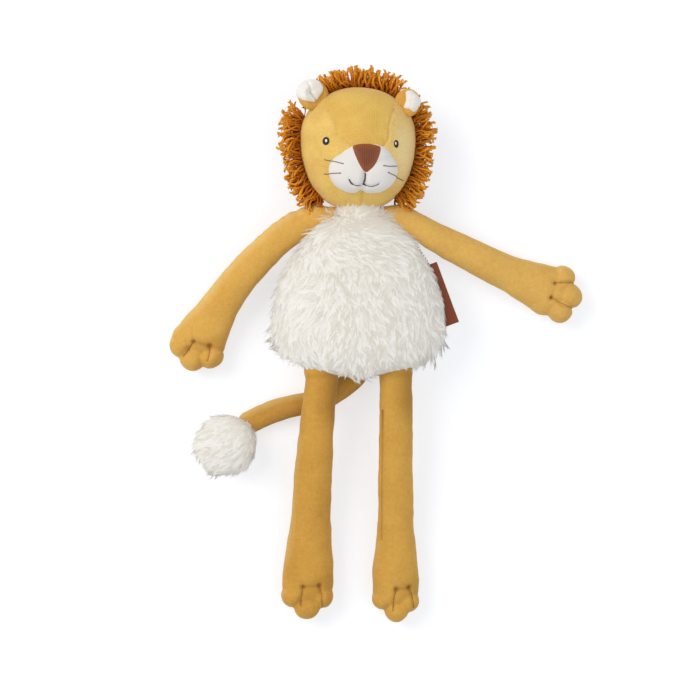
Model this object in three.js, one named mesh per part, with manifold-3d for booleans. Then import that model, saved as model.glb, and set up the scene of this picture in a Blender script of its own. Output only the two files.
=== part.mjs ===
// Plush lion doll for a baby: velour limbs, a long-pile body, a yarn mane and a sealed rattle inside.
// Millimetres. The doll lies on its back. +X is to the right seen from the front, +Y runs to the head
// and +Z rises from the floor to the face. The origin is on the flat of the back, under the body.

import * as THREE from 'three';
import { mergeVertices } from 'three/addons/utils/BufferGeometryUtils.js';
import Module from 'manifold-3d';

const wasm = await Module();
wasm.setup();

// The whole doll, from the soles to the tips of the mane
const dollLength = 354.7;

// Fits
const seatGap = 0.3;
const nodGap = 0.9;
const earSeatGap = 0.6;
const labelSeatGap = 0.7;
const floorCut = 0.5;
const velourWall = 1.4;

// Body: a pear, its neck a ball that the head sits on
const bodyWidth = 108;
const bodyDepth = 64;
const bodyWaistY = -12;
const bodyLowerLength = 37;
const bodyUpperLength = 70;
const bodySeamHeight = 27;
const bodyLowerRoundness = 2.4;
const bodyUpperRoundness = 1.7;
const bodyBackFullness = 0.25;
const neckRadius = 15;
const neckSink = 2;
const neckBallY = bodyWaistY + bodyUpperLength - neckSink;
const neckTaper = 1;
const furWall = 4;
const backClothWall = 1.6;

// Head: an egg, widest at the eyes
const headWidth = 73;
const headDepth = 62;
const headRise = 48.6;
const headWidestY = neckBallY + headRise;
const headCrownLength = 30;
const headChinLength = 47.6;
const headSeamHeight = 30;
const headCentreX = -0.6;
const crownRoundness = 2;
const chinRoundness = 2.35;
const backRoundness = 2.5;

// Muzzle: two cheek pads
const muzzlePadWidth = 32;
const muzzlePadHeight = 28.8;
const muzzlePadDepth = 11.5;
const muzzlePadSpread = 11.2;
const muzzleX = 2.5;
const muzzleDrop = 24.4;
const muzzleY = headWidestY - muzzleDrop;
const muzzleSink = 5.5;

// Embroidered patches on the face
const patchThickness = 1.2;
const noseWidth = 17.8;
const noseHeight = 17.7;
const noseDrop = 8.9;
const noseTopY = headWidestY - noseDrop;
const noseX = 4.6;
const noseCorner = 2.2;
const noseTipShare = 0.6;
const noseSideShare = 0.4;
const eyeWidth = 4.4;
const eyeHeight = 5.2;
const eyeDrop = 6.5;
const eyeY = headWidestY - eyeDrop;
const eyeLeftX = -20.6;
const eyeRightX = 23.1;
const eyeRightDrop = 1.7;
const eyeRightShare = 0.75;

// Ears
const earDepth = 4.4;
const earHollowRadius = 19;
const earHollowDepth = 2.6;
const earLiningWall = 0.9;
const earFoldRoom = 1.8;
const earSeamInset = 7.5;
const earLiningShare = 0.82;
const earHeight = 42;
const earLeftRise = 24.3;
const earRightRise = 18.8;
const earLeft = { x: -29.5, y: headWidestY + earLeftRise, radius: 10, lean: 24 };
const earRight = { x: 30.2, y: headWidestY + earRightRise, radius: 9, lean: -30 };

// Mane: yarn on a sewn band round the face
const maneBandWall = 1.8;
const maneBandWidth = 6;
const maneBandSteps = 15;
const maneYarnRadius = 1.2;
const maneYarnSpacing = 3.5;
const maneYarnBulge = 1.05;
const maneYarnTaper = 0.7;
const maneRowShift = 0.2;
const maneRowLift = 1.6;
const maneLength = 14.5;
const maneFringeLength = 12;
const maneRootSink = 0.5;
const maneTipDrop = 1.5;
const maneRowRise = 0.55;
const maneLowRowRise = 0.25;
const maneDroop = 0.55;
const maneEndMargin = 2;
const maneLengthSpread = 0.2;
const maneStretches = [
  { name: 'mane_left', from: 147, to: 222 },
  { name: 'mane_top', from: 42, to: 124 },
  { name: 'mane_right', from: -42, to: 28 },
];

// Limbs: headings in degrees from +X at the root, the middle and the end
const shoulderX = 26.5;
const shoulderDrop = 3;
const shoulderY = neckBallY - shoulderDrop;
const hipX = 23.5;
const hipDrop = 1;
const hipY = bodyWaistY - bodyLowerLength - hipDrop;
const legLength = dollLength - (headWidestY + headCrownLength + maneLength - hipY);
const legLeftShorter = 1.5;
const limbHeightShare = 0.88;
const shaftFullAt = 0.62;
const pawStart = 0.56;
const armPawFullAt = 0.96;
const legPawFullAt = 0.85;
const flatFullAt = 0.25;
const landedAt = 0.9;
const pawDomeStart = 2.7;
const pawDomeLength = 1.7;
const sideToeBack = 1.7;
const sideToeInset = 0.96;
const seatSpread = 1.05;
const pawHeight = 11.5;
const toeHeight = 9.8;
const limbs = {
  arm_left: {
    x: -shoulderX, y: shoulderY, headings: [206, 231, 247], length: 130.5, pawFullAt: armPawFullAt,
    rootRadius: 8, shaftRadius: 11, pawRadius: 17.7, toeRadius: 8.3, sideToeRadius: 7.9,
  },
  arm_right: {
    x: shoulderX, y: shoulderY, headings: [-31, -24.5, -21], length: 127.5, pawFullAt: armPawFullAt,
    rootRadius: 8, shaftRadius: 11, pawRadius: 17.6, toeRadius: 8.3, sideToeRadius: 7.9,
  },
  leg_left: {
    x: -hipX, y: hipY, headings: [263, 267, 268], length: legLength - legLeftShorter,
    pawFullAt: legPawFullAt, rootRadius: 10, shaftRadius: 12.1, pawRadius: 16.4,
    toeRadius: 7.9, sideToeRadius: 7.5,
  },
  leg_right: {
    x: hipX, y: hipY, headings: [270, 270, 270], length: legLength, pawFullAt: legPawFullAt,
    rootRadius: 10, shaftRadius: 11.1, pawRadius: 15.2, toeRadius: 7.5, sideToeRadius: 7.1,
  },
};
const armLift = 80;
const legLift = 75;
const headNod = 30;
const tailWag = 10;

// Tail
const tailRise = 5.5;
const tail = {
  x: 1.5, y: hipY + tailRise, headings: [232, 189, 212.5], length: 90, pawFullAt: legPawFullAt,
  rootRadius: 6.4, shaftRadius: 6.9, pawRadius: 6.9,
};
const tailRootHeight = 8;
const tuftRadius = 20.5;
const tuftHeight = 16;
const tuftOverlap = 11.5;
const tuftSag = 5;

// Side label, a folded tape in the side seam
const labelLength = 40.7;
const labelReach = 5.9;
const labelDepth = 8;
const labelWall = 1.1;
const labelY = 3.5;
const labelHeading = -69.6;
const labelCorner = 1.5;

// Rattle: a capsule along X, with beads in it
const capsuleRadius = 14;
const capsuleLength = 42;
const capsuleWall = 1.5;
const capsuleEndRound = 5;
const capsuleLap = 5;
const capsuleY = -10;
const capsuleHeight = 30;
const beadRadius = 3;
const beadCount = 5;
const beadGap = 0.4;

// Facets
const bodySides = 22;
const bodyFillingSides = 14;
const neckSides = 14;
const limbSides = 12;
const limbFillingSides = 8;
const limbRings = 9;
const limbFillingRings = 6;
const seatSides = 12;

const velourColour = 0xd6a754;
const finishes = {
  fur: { color: 0xefeeea, roughness: 1 },
  backCloth: { color: 0xe6e2da, roughness: 0.9 },
  filling: { color: 0xf4f4f2, roughness: 1 },
  velour: { color: velourColour, roughness: 0.95 },
  faceVelour: { color: 0xe0b964, roughness: 0.95 },
  muzzleFleece: { color: 0xe4e2dc, roughness: 0.95 },
  noseThread: { color: 0x7d4630, roughness: 0.6 },
  eyeThread: { color: 0x262220, roughness: 0.5 },
  yarn: { color: 0xc26a1c, roughness: 0.9 },
  label: { color: 0x84462f, roughness: 0.8 },
  capsule: { color: 0xd9e2e6, roughness: 0.35 },
  bead: { color: 0xb9552f, roughness: 0.4 },
};

// Solids

const radians = THREE.MathUtils.degToRad;
const mix = THREE.MathUtils.lerp;
const smooth = THREE.MathUtils.smoothstep;

function solidOf(geometry) {
  const bare = geometry.clone();
  bare.deleteAttribute('normal');
  bare.deleteAttribute('uv');
  const merged = mergeVertices(bare, 1e-4);
  const mesh = new wasm.Mesh({
    numProp: 3,
    vertProperties: Float32Array.from(merged.attributes.position.array),
    triVerts: Uint32Array.from(merged.index.array),
  });
  return new wasm.Manifold(mesh);
}

function geometryOf(solid) {
  const mesh = solid.getMesh();
  const geometry = new THREE.BufferGeometry();
  geometry.setAttribute('position', new THREE.BufferAttribute(mesh.vertProperties, 3));
  geometry.setIndex(new THREE.BufferAttribute(mesh.triVerts, 1));
  geometry.computeVertexNormals();
  return geometry;
}

// Closes a row of rings into one body. Each ring runs clockwise seen from the ring that follows it.
function loft(rings) {
  const sides = rings[0].length;
  const points = rings.flat();
  const faces = [];
  for (let k = 0; k + 1 < rings.length; k++) {
    for (let j = 0; j < sides; j++) {
      const a = k * sides + j;
      const b = k * sides + (j + 1) % sides;
      faces.push(a, b, b + sides, a, b + sides, a + sides);
    }
  }
  for (const [k, order] of [[0, [1, 0]], [rings.length - 1, [0, 1]]]) {
    const middle = new THREE.Vector3();
    rings[k].forEach((point) => middle.addScaledVector(point, 1 / sides));
    points.push(middle);
    for (let j = 0; j < sides; j++) {
      const rim = [k * sides + j, k * sides + (j + 1) % sides];
      faces.push(points.length - 1, rim[order[0]], rim[order[1]]);
    }
  }
  const geometry = new THREE.BufferGeometry().setFromPoints(points);
  geometry.setIndex(faces);
  return solidOf(geometry);
}

function ellipsoid(x, y, z, radiusX, radiusY = radiusX, radiusZ = radiusX, around = 16) {
  const geometry = new THREE.SphereGeometry(1, around, Math.round(around * 0.6));
  geometry.scale(radiusX, radiusY, radiusZ);
  return solidOf(geometry.translate(x, y, z));
}

// A block that holds everything below or above one height
function halfSpace(height, above) {
  const reach = 600;
  const geometry = new THREE.BoxGeometry(reach, reach, reach);
  return solidOf(geometry.translate(0, 0, height + (above ? reach : -reach) / 2));
}

function onFloor(solid) {
  return solid.subtract(halfSpace(0, false));
}

// A point of a rounded section: roundness 2 is an ellipse, more is squarer
function sectionPoint(angle, halfWidth, up, down, roundness) {
  const across = Math.cos(angle);
  const rise = Math.sin(angle);
  const reach = rise > 0 ? up : down;
  const power = rise > 0 ? 1 : 2 / roundness;
  return [halfWidth * Math.sign(across) * Math.abs(across) ** power,
    reach * Math.sign(rise) * Math.abs(rise) ** power];
}

// Rings along +Y for the body and the head, one at each station, rounder in front than at the back
function lyingForm(stations, centreX, seamHeight, sides) {
  const rings = stations.map(({ y, halfWidth, up, down }) => {
    const ring = [];
    for (let j = 0; j < sides; j++) {
      const [x, z] = sectionPoint(-2 * Math.PI * j / sides, halfWidth, up, down, backRoundness);
      ring.push(new THREE.Vector3(centreX + x, y, seamHeight + z));
    }
    return ring;
  });
  return loft(rings);
}

// Body

function bodyOutline(y, offset = 0) {
  const half = bodyWidth / 2 - offset;
  const neck = neckRadius - neckTaper - offset;
  if (y < bodyWaistY) {
    const share = (bodyWaistY - y) / (bodyLowerLength - offset);
    const size = (1 - Math.min(share, 1) ** bodyLowerRoundness) ** (1 / bodyLowerRoundness);
    return { halfWidth: half * size, size };
  }
  const size = 1 - ((y - bodyWaistY) / bodyUpperLength) ** bodyUpperRoundness;
  return { halfWidth: neck + (half - neck) * size, size };
}

function bodyForm(offset, sides) {
  const stations = [];
  const lower = sides < bodySides ? [82, 58, 30] : [87, 75, 59, 40, 20];
  for (const degrees of lower) {
    stations.push(bodyWaistY - (bodyLowerLength - offset) * Math.sin(radians(degrees)));
  }
  const upperSteps = sides < bodySides ? 4 : 6;
  for (let k = 0; k <= upperSteps; k++) {
    stations.push(bodyWaistY + bodyUpperLength * k / upperSteps);
  }
  const up = bodyDepth - bodySeamHeight - offset;
  const down = bodySeamHeight + floorCut - offset;
  const neck = neckRadius - neckTaper - offset;
  const form = lyingForm(stations.map((y) => {
    const { halfWidth, size } = bodyOutline(y, offset);
    if (y < bodyWaistY) {
      return { y, halfWidth, up: up * size, down: down * size };
    }
    return { y, halfWidth, up: mix(neck, up, size), down: mix(neck, down, size ** bodyBackFullness) };
  }), 0, bodySeamHeight, sides);
  return form.add(neckBall(neckRadius - offset));
}

// Head

function headOutline(y, offset = 0) {
  const above = y > headWidestY;
  const length = (above ? headCrownLength : headChinLength) - offset;
  const share = Math.min(Math.abs(y - headWidestY) / length, 1);
  const roundness = above ? crownRoundness : chinRoundness;
  return (1 - share ** roundness) ** (1 / roundness);
}

function headForm(offset, sides) {
  const stations = [];
  const step = sides < bodySides ? 21 : 14;
  for (let degrees = -84; degrees <= 84; degrees += step) {
    const length = (degrees > 0 ? headCrownLength : headChinLength) - offset;
    stations.push(headWidestY + length * Math.sin(radians(degrees)));
  }
  return lyingForm(stations.map((y) => {
    const size = headOutline(y, offset);
    return {
      y,
      halfWidth: (headWidth / 2 - offset) * size,
      up: (headDepth - headSeamHeight - offset) * size,
      down: (headSeamHeight + floorCut - offset) * size,
    };
  }), headCentreX, headSeamHeight, sides);
}

function headFrontHeight(x, y) {
  const size = headOutline(y);
  const across = (x - headCentreX) / (headWidth / 2 * size);
  return headSeamHeight + (headDepth - headSeamHeight) * size * Math.sqrt(1 - across ** 2);
}

function neckBall(radius) {
  return ellipsoid(0, neckBallY, bodySeamHeight, radius, radius, radius, neckSides);
}

function neckSocket() {
  return neckBall((neckRadius + seatGap) / Math.cos(Math.PI / neckSides));
}

function muzzleForm(offset) {
  const pads = [-1, 1].map((side) => {
    const x = muzzleX + side * muzzlePadSpread / 2;
    const z = headFrontHeight(x, muzzleY) - muzzleSink;
    return ellipsoid(x, muzzleY, z, muzzlePadWidth / 2 - offset, muzzlePadHeight / 2 - offset,
      muzzlePadDepth - offset, 14);
  });
  return pads[0].add(pads[1]);
}

function columnOf(shape, x, y) {
  const geometry = new THREE.ExtrudeGeometry(shape, {
    depth: headDepth, bevelEnabled: false, curveSegments: 3,
  });
  return solidOf(geometry.translate(x, y, headSeamHeight));
}

function facePatch(shape, x, y) {
  const surface = (height) => headForm(-height, bodySides).add(muzzleForm(-height));
  return columnOf(shape, x, y).intersect(surface(seatGap + patchThickness)).subtract(surface(seatGap));
}

function noseShape() {
  const half = noseWidth / 2;
  const shape = new THREE.Shape();
  shape.moveTo(-half + noseCorner, 0);
  const tip = noseCorner * noseTipShare;
  const side = half - noseCorner * noseSideShare;
  shape.quadraticCurveTo(0, tip, half - noseCorner, 0);
  shape.quadraticCurveTo(half, 0, side, -noseCorner);
  shape.lineTo(tip, -noseHeight + noseCorner);
  shape.quadraticCurveTo(0, -noseHeight, -tip, -noseHeight + noseCorner);
  shape.lineTo(-side, -noseCorner);
  shape.quadraticCurveTo(-half, 0, -half + noseCorner, 0);
  return shape;
}

function eyeShape(width) {
  const outline = new THREE.EllipseCurve(0, 0, width / 2, eyeHeight / 2).getPoints(14);
  return new THREE.Shape(outline.slice(1));
}

function earSolids({ x, y, radius, lean }) {
  const place = (solid) => solid.rotate([0, lean, 0]).translate([x, y, earHeight]);
  const hollow = (reach) => (
    ellipsoid(0, 0, earDepth - earHollowDepth + earHollowRadius, reach, reach, reach, seatSides));
  const liningRadius = radius * earLiningShare;
  const disc = ellipsoid(0, 0, 0, radius, radius, earDepth, 14);
  const liningDisc = ellipsoid(0, 0, earDepth, liningRadius, liningRadius, earDepth, seatSides);
  const lining = liningDisc.intersect(hollow(earHollowRadius - seatGap))
    .subtract(hollow(earHollowRadius - seatGap - earLiningWall));
  return {
    back: place(disc.subtract(hollow(earHollowRadius))).subtract(headForm(-earSeatGap, bodySides)),
    lining: place(lining).subtract(headForm(-earFoldRoom, bodySides)),
  };
}

// Mane

const steadyNoise = (seed) => {
  const value = Math.sin(seed * 12.9898) * 43758.5453;
  return value - Math.floor(value);
};

// The place and the outward direction on the head's seam at so many degrees round it
function headEdge(degrees, offset) {
  const across = Math.cos(radians(degrees));
  const along = Math.sin(radians(degrees));
  const length = along > 0 ? headCrownLength : headChinLength;
  const roundness = along > 0 ? crownRoundness : chinRoundness;
  const bent = (value, power) => Math.sign(value) * Math.abs(value) ** power;
  const point = new THREE.Vector3(
    headWidth / 2 * bent(across, 2 / roundness), length * bent(along, 2 / roundness), 0);
  const steepness = 2 - 2 / roundness;
  const normal = new THREE.Vector3(
    length * bent(across, steepness), headWidth / 2 * bent(along, steepness), 0).normalize();
  point.add(new THREE.Vector3(headCentreX, headWidestY, headSeamHeight)).addScaledVector(normal, offset);
  return { point, normal };
}

function maneBand(from, to) {
  const rings = [];
  for (let k = 0; k <= maneBandSteps; k++) {
    const { point, normal } = headEdge(mix(from, to, k / maneBandSteps), 0);
    const ring = [];
    for (const [out, rise] of [[0, -1], [0, 1], [1, 1], [1, -1]]) {
      const corner = point.clone().addScaledVector(normal, seatGap + out * maneBandWall);
      ring.push(corner.add(new THREE.Vector3(0, 0, rise * maneBandWidth / 2)));
    }
    rings.push(ring);
  }
  return loft(rings);
}

function yarnStrand(start, direction, length, drop) {
  const side = new THREE.Vector3().crossVectors(direction, new THREE.Vector3(0, 0, 1)).normalize();
  const up = new THREE.Vector3().crossVectors(side, direction);
  const rings = [[0, 1], [0.5, maneYarnBulge], [1, maneYarnTaper]].map(([share, size]) => {
    const centre = start.clone().addScaledVector(direction, share * length);
    centre.z -= drop * share ** 2;
    const ring = [];
    for (let j = 0; j < 3; j++) {
      const angle = -2 * Math.PI * j / 3;
      ring.push(centre.clone().addScaledVector(side, Math.cos(angle) * size * maneYarnRadius)
        .addScaledVector(up, Math.sin(angle) * size * maneYarnRadius));
    }
    return ring;
  });
  return loft(rings);
}

function maneStretch({ from, to }, seed) {
  const parts = [maneBand(from, to)];
  const reach = headEdge(from, 0).point.distanceTo(headEdge(to, 0).point);
  const bow = radians(to - from) / 2;
  const count = Math.floor(reach * bow / Math.sin(bow) / maneYarnSpacing);
  for (const row of [-1, 1]) {
    for (let k = 0; k < count; k++) {
      const share = (k + 0.5 + row * maneRowShift) / count;
      const degrees = mix(from + maneEndMargin, to - maneEndMargin, share);
      const { point, normal } = headEdge(degrees, seatGap + maneBandWall - maneRootSink);
      const low = Math.max(0, -Math.sin(radians(degrees)));
      const direction = normal.clone();
      direction.y -= maneDroop * low;
      direction.z = row > 0 ? maneRowRise : -maneRowRise - maneLowRowRise * low;
      direction.normalize();
      point.z += row * maneYarnRadius * maneRowLift;
      const shorter = maneLengthSpread * steadyNoise(seed + k * 2 + row);
      const length = mix(maneLength, maneFringeLength, low) * (1 - shorter);
      parts.push(yarnStrand(point, direction, length, row > 0 ? maneTipDrop : 0));
    }
  }
  return onFloor(wasm.Manifold.union(parts)).subtract(headForm(-seatGap, bodySides));
}

// Limbs and tail

// Follows a limb from its root and gives the place and the heading at any distance along it
function limbPath(limb, rootHeight, endHeight) {
  const [first, middle, last] = limb.headings;
  const headingAt = (share) => (
    share < 0.5 ? mix(first, middle, share * 2) : mix(middle, last, share * 2 - 1));
  const steps = 60;
  const step = limb.length / steps;
  const places = [new THREE.Vector3(limb.x, limb.y, rootHeight)];
  for (let k = 0; k < steps; k++) {
    const angle = radians(headingAt((k + 0.5) / steps));
    const next = places[k].clone();
    next.add(new THREE.Vector3(Math.cos(angle), Math.sin(angle), 0).multiplyScalar(step));
    next.z = mix(rootHeight, endHeight, smooth((k + 1) / steps, 0, landedAt));
    places.push(next);
  }
  return (distance) => {
    const share = THREE.MathUtils.clamp(distance / limb.length, 0, 1);
    const k = Math.min(Math.floor(share * steps), steps - 1);
    const angle = radians(headingAt(share));
    const heading = new THREE.Vector3(Math.cos(angle), Math.sin(angle), 0);
    const point = places[k].clone().lerp(places[k + 1], share * steps - k);
    if (distance < 0) {
      point.addScaledVector(heading, distance);
    }
    return { point, heading };
  };
}

function limbRadii(limb, distance) {
  const share = distance / limb.length;
  const shaft = mix(limb.rootRadius, limb.shaftRadius, smooth(share, 0, shaftFullAt));
  const flat = shaft * mix(1, limbHeightShare, smooth(share, 0, flatFullAt));
  const paw = smooth(share, pawStart, limb.pawFullAt);
  const endHeight = limb.pawRadius > limb.shaftRadius ? pawHeight : flat;
  return { width: mix(shaft, limb.pawRadius, paw), height: mix(flat, endHeight, paw) };
}

function limbForm(limb, path, offset, sides, shaftRings) {
  const root = limb.rootRadius;
  const toe = limb.toeRadius ?? 0;
  const domeStart = limb.length - (toe > 0 ? toe * pawDomeStart : limb.rootRadius);
  const domeLength = toe > 0 ? toe * pawDomeLength : limb.rootRadius;
  const rings = [];
  const addRing = (distance, width, height) => {
    const { point, heading } = path(distance);
    const side = new THREE.Vector3().crossVectors(heading, new THREE.Vector3(0, 0, 1));
    const ring = [];
    for (let j = 0; j < sides; j++) {
      const angle = -2 * Math.PI * j / sides;
      const corner = point.clone().addScaledVector(side, Math.cos(angle) * width);
      corner.z += Math.sin(angle) * height;
      ring.push(corner);
    }
    rings.push(ring);
  };
  for (const degrees of [20, 45, 68]) {
    const angle = radians(degrees);
    const radius = (root - offset) * Math.sin(angle);
    addRing(-(root - offset) * Math.cos(angle), radius, radius);
  }
  for (let k = 0; k <= shaftRings; k++) {
    const distance = domeStart * k / shaftRings;
    const { width, height } = limbRadii(limb, distance);
    addRing(distance, width - offset, height - offset);
  }
  const end = limbRadii(limb, domeStart);
  for (const degrees of [28, 55, 78]) {
    const angle = radians(degrees);
    addRing(domeStart + (domeLength - offset) * Math.sin(angle), (end.width - offset) * Math.cos(angle),
      (end.height - offset) * Math.cos(angle));
  }
  return loft(rings);
}

function toeForms(limb, path) {
  const toes = [
    { back: limb.toeRadius, across: 0, radius: limb.toeRadius },
    { back: limb.toeRadius * sideToeBack, across: 1, radius: limb.sideToeRadius },
    { back: limb.toeRadius * sideToeBack, across: -1, radius: limb.sideToeRadius },
  ];
  return toes.map(({ back, across, radius }) => {
    const { point, heading } = path(limb.length - back);
    const side = new THREE.Vector3().crossVectors(heading, new THREE.Vector3(0, 0, 1));
    point.addScaledVector(side, across * (limb.pawRadius - radius * sideToeInset));
    return ellipsoid(point.x, point.y, point.z, radius, radius, toeHeight, 10);
  });
}

// Cover and filling of one limb. The cover is open at its root, where the filling goes in.
function limbSolids(limb, rootHeight, endHeight) {
  const path = limbPath(limb, rootHeight, endHeight);
  let outer = limbForm(limb, path, 0, limbSides, limbRings);
  if (limb.toeRadius) {
    outer = wasm.Manifold.union([outer, ...toeForms(limb, path)]);
  }
  const { point, heading } = path(-limb.rootRadius);
  const mouthRadius = limb.rootRadius / 2;
  const mouth = new THREE.CylinderGeometry(mouthRadius, mouthRadius, limb.rootRadius, limbFillingSides);
  const towards = new THREE.Quaternion().setFromUnitVectors(new THREE.Vector3(0, 1, 0), heading);
  mouth.applyQuaternion(towards).translate(point.x, point.y, point.z);
  const cover = onFloor(outer)
    .subtract(limbForm(limb, path, velourWall, limbFillingSides, limbFillingRings))
    .subtract(solidOf(mouth));
  const filling = limbForm(limb, path, velourWall + seatGap, limbFillingSides, limbFillingRings)
    .subtract(halfSpace(velourWall, false));
  return { cover, filling, path };
}

// Room that the body leaves for a limb: a round seat for its root, fanned out to where it lifts to
function limbRoom(limb, rootHeight, lift) {
  const reach = bodyDepth / 2;
  const radius = limb.rootRadius * seatSpread + seatGap;
  const fan = [[reach, 0], [reach, lift / 2], [reach, lift]];
  for (let k = 0; k <= 4; k++) {
    fan.push([seatGap, mix(lift + 90, 270, k / 4)]);
  }
  const shape = new THREE.Shape(fan.map(([out, degrees]) => (
    new THREE.Vector2(out * Math.cos(radians(degrees)), out * Math.sin(radians(degrees))))));
  const geometry = new THREE.ExtrudeGeometry(shape, {
    depth: seatGap, bevelThickness: radius, bevelSize: radius, bevelSegments: 4,
  });
  const angle = radians(limb.headings[0]);
  const heading = new THREE.Vector3(Math.cos(angle), Math.sin(angle), 0);
  const up = new THREE.Vector3(0, 0, 1);
  const hinge = new THREE.Vector3().crossVectors(heading, up);
  geometry.translate(0, 0, -seatGap / 2);
  geometry.applyMatrix4(new THREE.Matrix4().makeBasis(heading, up, hinge));
  return solidOf(geometry.translate(limb.x, limb.y, rootHeight));
}

// Label

// The place on the side seam that the label stands on
function labelRoot() {
  return new THREE.Vector3(bodyOutline(labelY).halfWidth, labelY, bodySeamHeight);
}

function labelSolid() {
  const shape = new THREE.Shape();
  const half = labelLength / 2;
  shape.moveTo(-half, -labelDepth);
  shape.lineTo(half, -labelDepth);
  shape.lineTo(half, labelReach - labelCorner);
  shape.quadraticCurveTo(half, labelReach, half - labelCorner, labelReach);
  shape.lineTo(-half + labelCorner, labelReach);
  shape.quadraticCurveTo(-half, labelReach, -half, labelReach - labelCorner);
  const geometry = new THREE.ExtrudeGeometry(shape, {
    depth: labelWall, bevelEnabled: false, curveSegments: 3,
  });
  const root = labelRoot();
  geometry.translate(0, 0, -labelWall / 2).rotateZ(radians(labelHeading)).translate(root.x, root.y, root.z);
  return solidOf(geometry).subtract(bodyForm(-labelSeatGap, bodySides));
}

// Rattle

function turnedAlongX(points, y, z) {
  const profile = points.map(([radius, along]) => new THREE.Vector2(radius, along));
  const geometry = new THREE.LatheGeometry(profile, 20);
  return solidOf(geometry.rotateZ(-Math.PI / 2).translate(0, y, z));
}

// Half of the capsule as a profile [radius, along X], closed at its far end. Its lip is stepped: the wall
// begins at lipAt inside and at mouthAt outside, with the step at lipRadius.
function capsuleHalf(mouthAt, lipRadius, lipAt) {
  const half = capsuleLength / 2;
  const inner = capsuleRadius - capsuleWall;
  return [
    [0, half - capsuleWall], [inner - capsuleEndRound + capsuleWall, half - capsuleWall],
    [inner, half - capsuleEndRound], [inner, lipAt], [lipRadius, lipAt], [lipRadius, mouthAt],
    [capsuleRadius, mouthAt], [capsuleRadius, half - capsuleEndRound],
    [capsuleRadius - capsuleEndRound * 0.3, half - capsuleEndRound * 0.3],
    [capsuleRadius - capsuleEndRound, half], [0, half],
  ];
}

function rattleSolids() {
  const middle = capsuleRadius - capsuleWall / 2;
  const inner = capsuleRadius - capsuleWall;
  const mirrored = (points) => points.map(([radius, along]) => [radius, -along]).reverse();
  const capProfile = capsuleHalf(-capsuleLap, middle + seatGap / 2, seatGap);
  const cupProfile = mirrored(capsuleHalf(capsuleLap + seatGap, middle - seatGap / 2, 0));
  const cap = turnedAlongX(capProfile, capsuleY, capsuleHeight);
  const cup = turnedAlongX(cupProfile, capsuleY, capsuleHeight);
  const beads = [];
  for (let k = 0; k < beadCount; k++) {
    const x = (k - (beadCount - 1) / 2) * (2 * beadRadius + beadGap);
    const z = capsuleHeight - inner + beadRadius + seatGap;
    beads.push(ellipsoid(x, capsuleY, z, beadRadius, beadRadius, beadRadius, 8));
  }
  return { cup, cap, beads };
}

// Assembly

const doll = new THREE.Group();

// A moving part of the doll: a group whose origin is its joint
function partAt(parent, x, y, z) {
  const group = new THREE.Group();
  group.userData.pivot = new THREE.Vector3(x, y, z);
  group.position.copy(group.userData.pivot).sub(parent.userData.pivot);
  parent.add(group);
  return group;
}

function addPiece(part, name, solid, finish) {
  const { x, y, z } = part.userData.pivot;
  const material = new THREE.MeshStandardMaterial({ ...finishes[finish], metalness: 0 });
  const mesh = new THREE.Mesh(geometryOf(solid).translate(-x, -y, -z), material);
  mesh.name = name;
  part.add(mesh);
}

function buildLimbs() {
  for (const [name, limb] of Object.entries(limbs)) {
    const part = partAt(doll, limb.x, limb.y, bodySeamHeight);
    const { cover, filling } = limbSolids(limb, bodySeamHeight, pawHeight - floorCut);
    addPiece(part, name + '_cover', cover, 'velour');
    addPiece(part, name + '_filling', filling, 'filling');
  }
}

function buildTail() {
  const part = partAt(doll, tail.x, tail.y, tailRootHeight);
  const floorHeight = tail.shaftRadius * limbHeightShare - floorCut;
  const { cover, filling, path } = limbSolids(tail, tailRootHeight, floorHeight);
  const { point, heading } = path(tail.length);
  point.addScaledVector(heading, tuftRadius - tuftOverlap);
  point.y -= tuftSag;
  const tuft = ellipsoid(point.x, point.y, tuftHeight - floorCut, tuftRadius, tuftRadius, tuftHeight, 16);
  const bore = limbForm(tail, path, -seatGap, limbSides, limbRings);
  addPiece(part, 'tail_cover', cover, 'velour');
  addPiece(part, 'tail_filling', filling, 'filling');
  addPiece(part, 'tail_tuft', onFloor(tuft).subtract(bore), 'fur');
}

function buildBody() {
  const rooms = Object.values(limbs).map((limb) => (
    limbRoom(limb, bodySeamHeight, limb.y > 0 ? armLift : legLift)));
  for (const wag of [-tailWag, 0, tailWag]) {
    const swung = { ...tail, headings: tail.headings.map((heading) => heading + wag) };
    rooms.push(limbForm(swung, limbPath(swung, tailRootHeight, tailRootHeight), -seatGap, seatSides, 4));
  }
  rooms.push(headForm(-nodGap, bodySides).subtract(neckBall(neckRadius))
    .translate([0, -neckBallY, -bodySeamHeight]).rotate([headNod, 0, 0])
    .translate([0, neckBallY, bodySeamHeight]).intersect(halfSpace(bodySeamHeight, true)));
  const room = wasm.Manifold.union(rooms);
  const front = halfSpace(bodySeamHeight + seatGap / 2, true);
  const back = halfSpace(bodySeamHeight - seatGap / 2, false);
  const outer = onFloor(bodyForm(0, bodySides)).subtract(room);
  addPiece(doll, 'torso_fur_front',
    outer.intersect(front).subtract(bodyForm(furWall, bodyFillingSides)), 'fur');
  addPiece(doll, 'torso_back_panel',
    outer.intersect(back).subtract(bodyForm(backClothWall, bodyFillingSides)), 'backCloth');
  const capsuleRoom = turnedAlongX([
    [0, -capsuleLength / 2 - seatGap], [capsuleRadius + seatGap, -capsuleLength / 2 - seatGap],
    [capsuleRadius + seatGap, capsuleLength / 2 + seatGap], [0, capsuleLength / 2 + seatGap],
  ], capsuleY, capsuleHeight);
  const wad = (wall, side) => (
    bodyForm(wall + seatGap, bodyFillingSides).intersect(side).subtract(room).subtract(capsuleRoom));
  addPiece(doll, 'torso_filling_front', wad(furWall, front), 'filling');
  addPiece(doll, 'torso_filling_back', wad(backClothWall, back), 'filling');
}

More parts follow.
